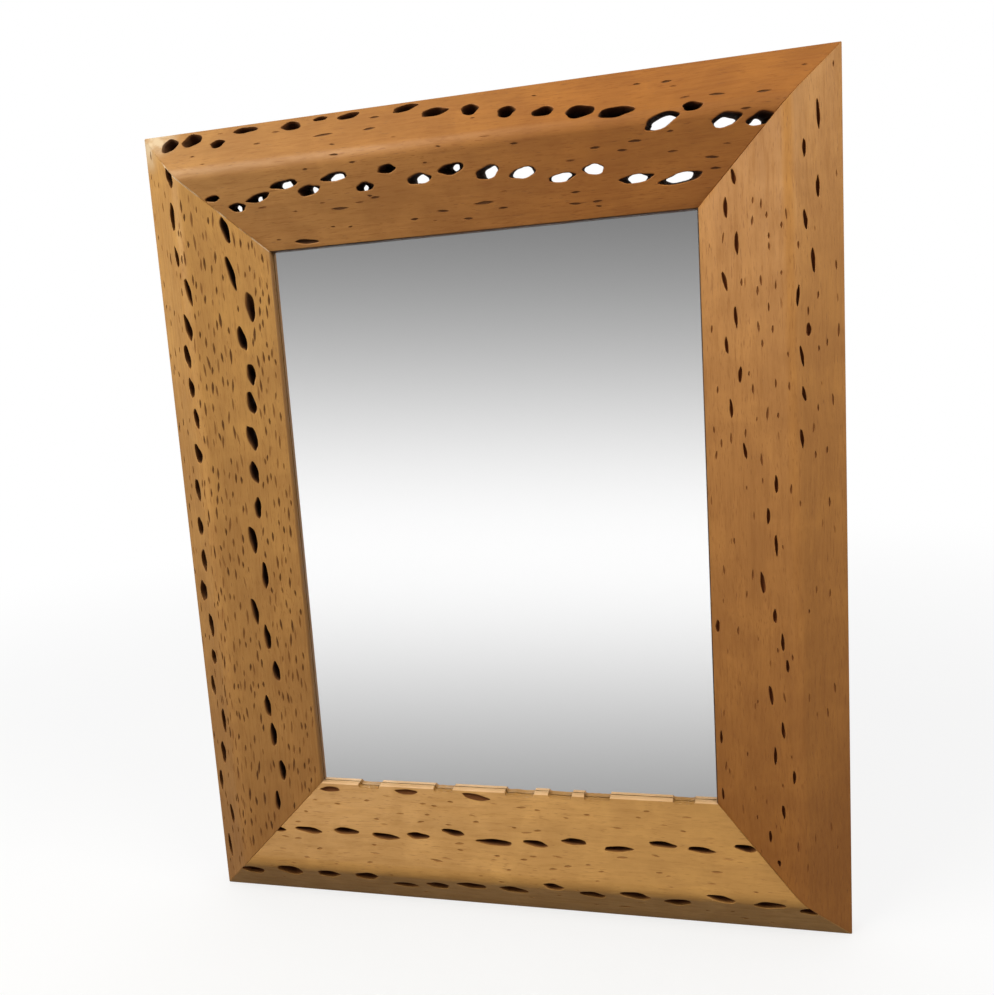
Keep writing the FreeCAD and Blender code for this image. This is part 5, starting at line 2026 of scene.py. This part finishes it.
@dataclass(frozen=True)
class Studio:
    """The camera, the lamps, the room that the mirror reflects and the floor."""

    eye: Triple = (162.95, -625.30, 394.18)
    right: Triple = (0.96619843, 0.2488054, -0.06750162)
    down: Triple = (-0.02791869, -0.15931268, -0.98683333)
    ahead: Triple = (-0.25628332, 0.95536137, -0.14698134)
    focal_pixels: float = 957.52
    centre: Pair = (483.29, 494.56)
    picture: tuple[int, int] = (994, 995)
    sensor: float = 36.0
    lamps: tuple[Lamp, ...] = (Lamp("left_lamp", 11.0, (-640.0, -720.0, 960.0)),
                               Lamp("right_lamp", 10.5, (1160.0, -640.0, 1080.0)))
    ambient: float = 0.24
    ambient_behind: float = 1.2
    band_middle: float = 0.058
    band_narrowness: float = 3.06
    band_edge: float = 0.16
    behind_level: float = 0.70
    behind_rise: float = 0.45
    floor_reach: float = 9000.0
    floor_level: float = -0.05

    def build(self) -> None:
        """Set up the whole studio."""
        bpy.context.scene.view_settings.view_transform = "Standard"
        self.set_camera()
        for lamp in self.lamps:
            lamp.hang()
        self.light_room()
        self.lay_floor()

    def set_camera(self) -> None:
        """Stand the camera where the photograph was taken."""
        data = bpy.data.cameras.new("camera")
        long_side = max(self.picture)
        data.sensor_width = self.sensor
        data.lens = self.focal_pixels / long_side * self.sensor
        data.shift_x = (self.picture[0] / 2 - self.centre[0]) / long_side
        data.shift_y = (self.centre[1] - self.picture[1] / 2) / long_side
        data.clip_start, data.clip_end = 0.01, 100.0
        axes = Matrix((self.right, [-value for value in self.down],
                       [-value for value in self.ahead]))
        camera = stand("camera", data)
        camera.matrix_world = Matrix.Translation(Vector(self.eye) * MM) @ axes.transposed().to_4x4()
        bpy.context.scene.camera = camera

    def light_room(self) -> None:
        """Light the room evenly, with a bright band across it for whatever is polished."""
        world = bpy.data.worlds.new("room")
        world.use_nodes = True
        bpy.context.scene.world = world
        bench = Bench(world.node_tree)
        way = bench.node("ShaderNodeTexCoord", output="Generated")
        down, ahead = ((x, -y, z) for x, y, z in (self.down, self.ahead))
        fall = bench.vector("DOT_PRODUCT", way, down, "Value")
        reach = bench.vector("DOT_PRODUCT", way, ahead, "Value").larger(0.05)
        off = (fall / reach - self.band_middle) * self.band_narrowness
        spread = 1.0 + off * off
        band = (1.0 / (spread * spread)).larger(self.band_edge)
        back, high = (bench.part(way, axis) for axis in "YZ")
        behind = self.behind_level + self.behind_rise * high
        band = band + (behind - band) * bench.between(back, 0.45, 0.85)
        brighter = (self.ambient_behind - self.ambient) * bench.between(back, -0.1, 0.7)
        strength = bench.by_ray(1.0, band, self.ambient + brighter)
        bench.show(bench.node("ShaderNodeBackground", {}, {"Color": WHITE, "Strength": strength}),
                   "ShaderNodeOutputWorld")

    def lay_floor(self) -> None:
        """Lay the floor, a flat disc just under the frame."""
        rim = [(x, y, self.floor_level) for x, y in circle(0.0, 0.0, self.floor_reach, 96)]
        data = to_mesh("floor", (rim, [tuple(range(len(rim)))]))
        data.materials.append(PaleFloor().material())
        stand("floor", data)


def main() -> None:
    """Build the studio, then the mirror in order."""
    logging.basicConfig(level=logging.INFO, format="%(message)s")
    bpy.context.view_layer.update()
    Studio().build()
    WoodenFrame().build()
    MirrorPlate().build()
    for side, turns in ((Side.LEFT, (0.5, 1.9)), (Side.RIGHT, (2.6, 0.9))):
        Hanger(side, turns).build()
        Bumper(side).build()


if __name__ == "__main__":
    main()
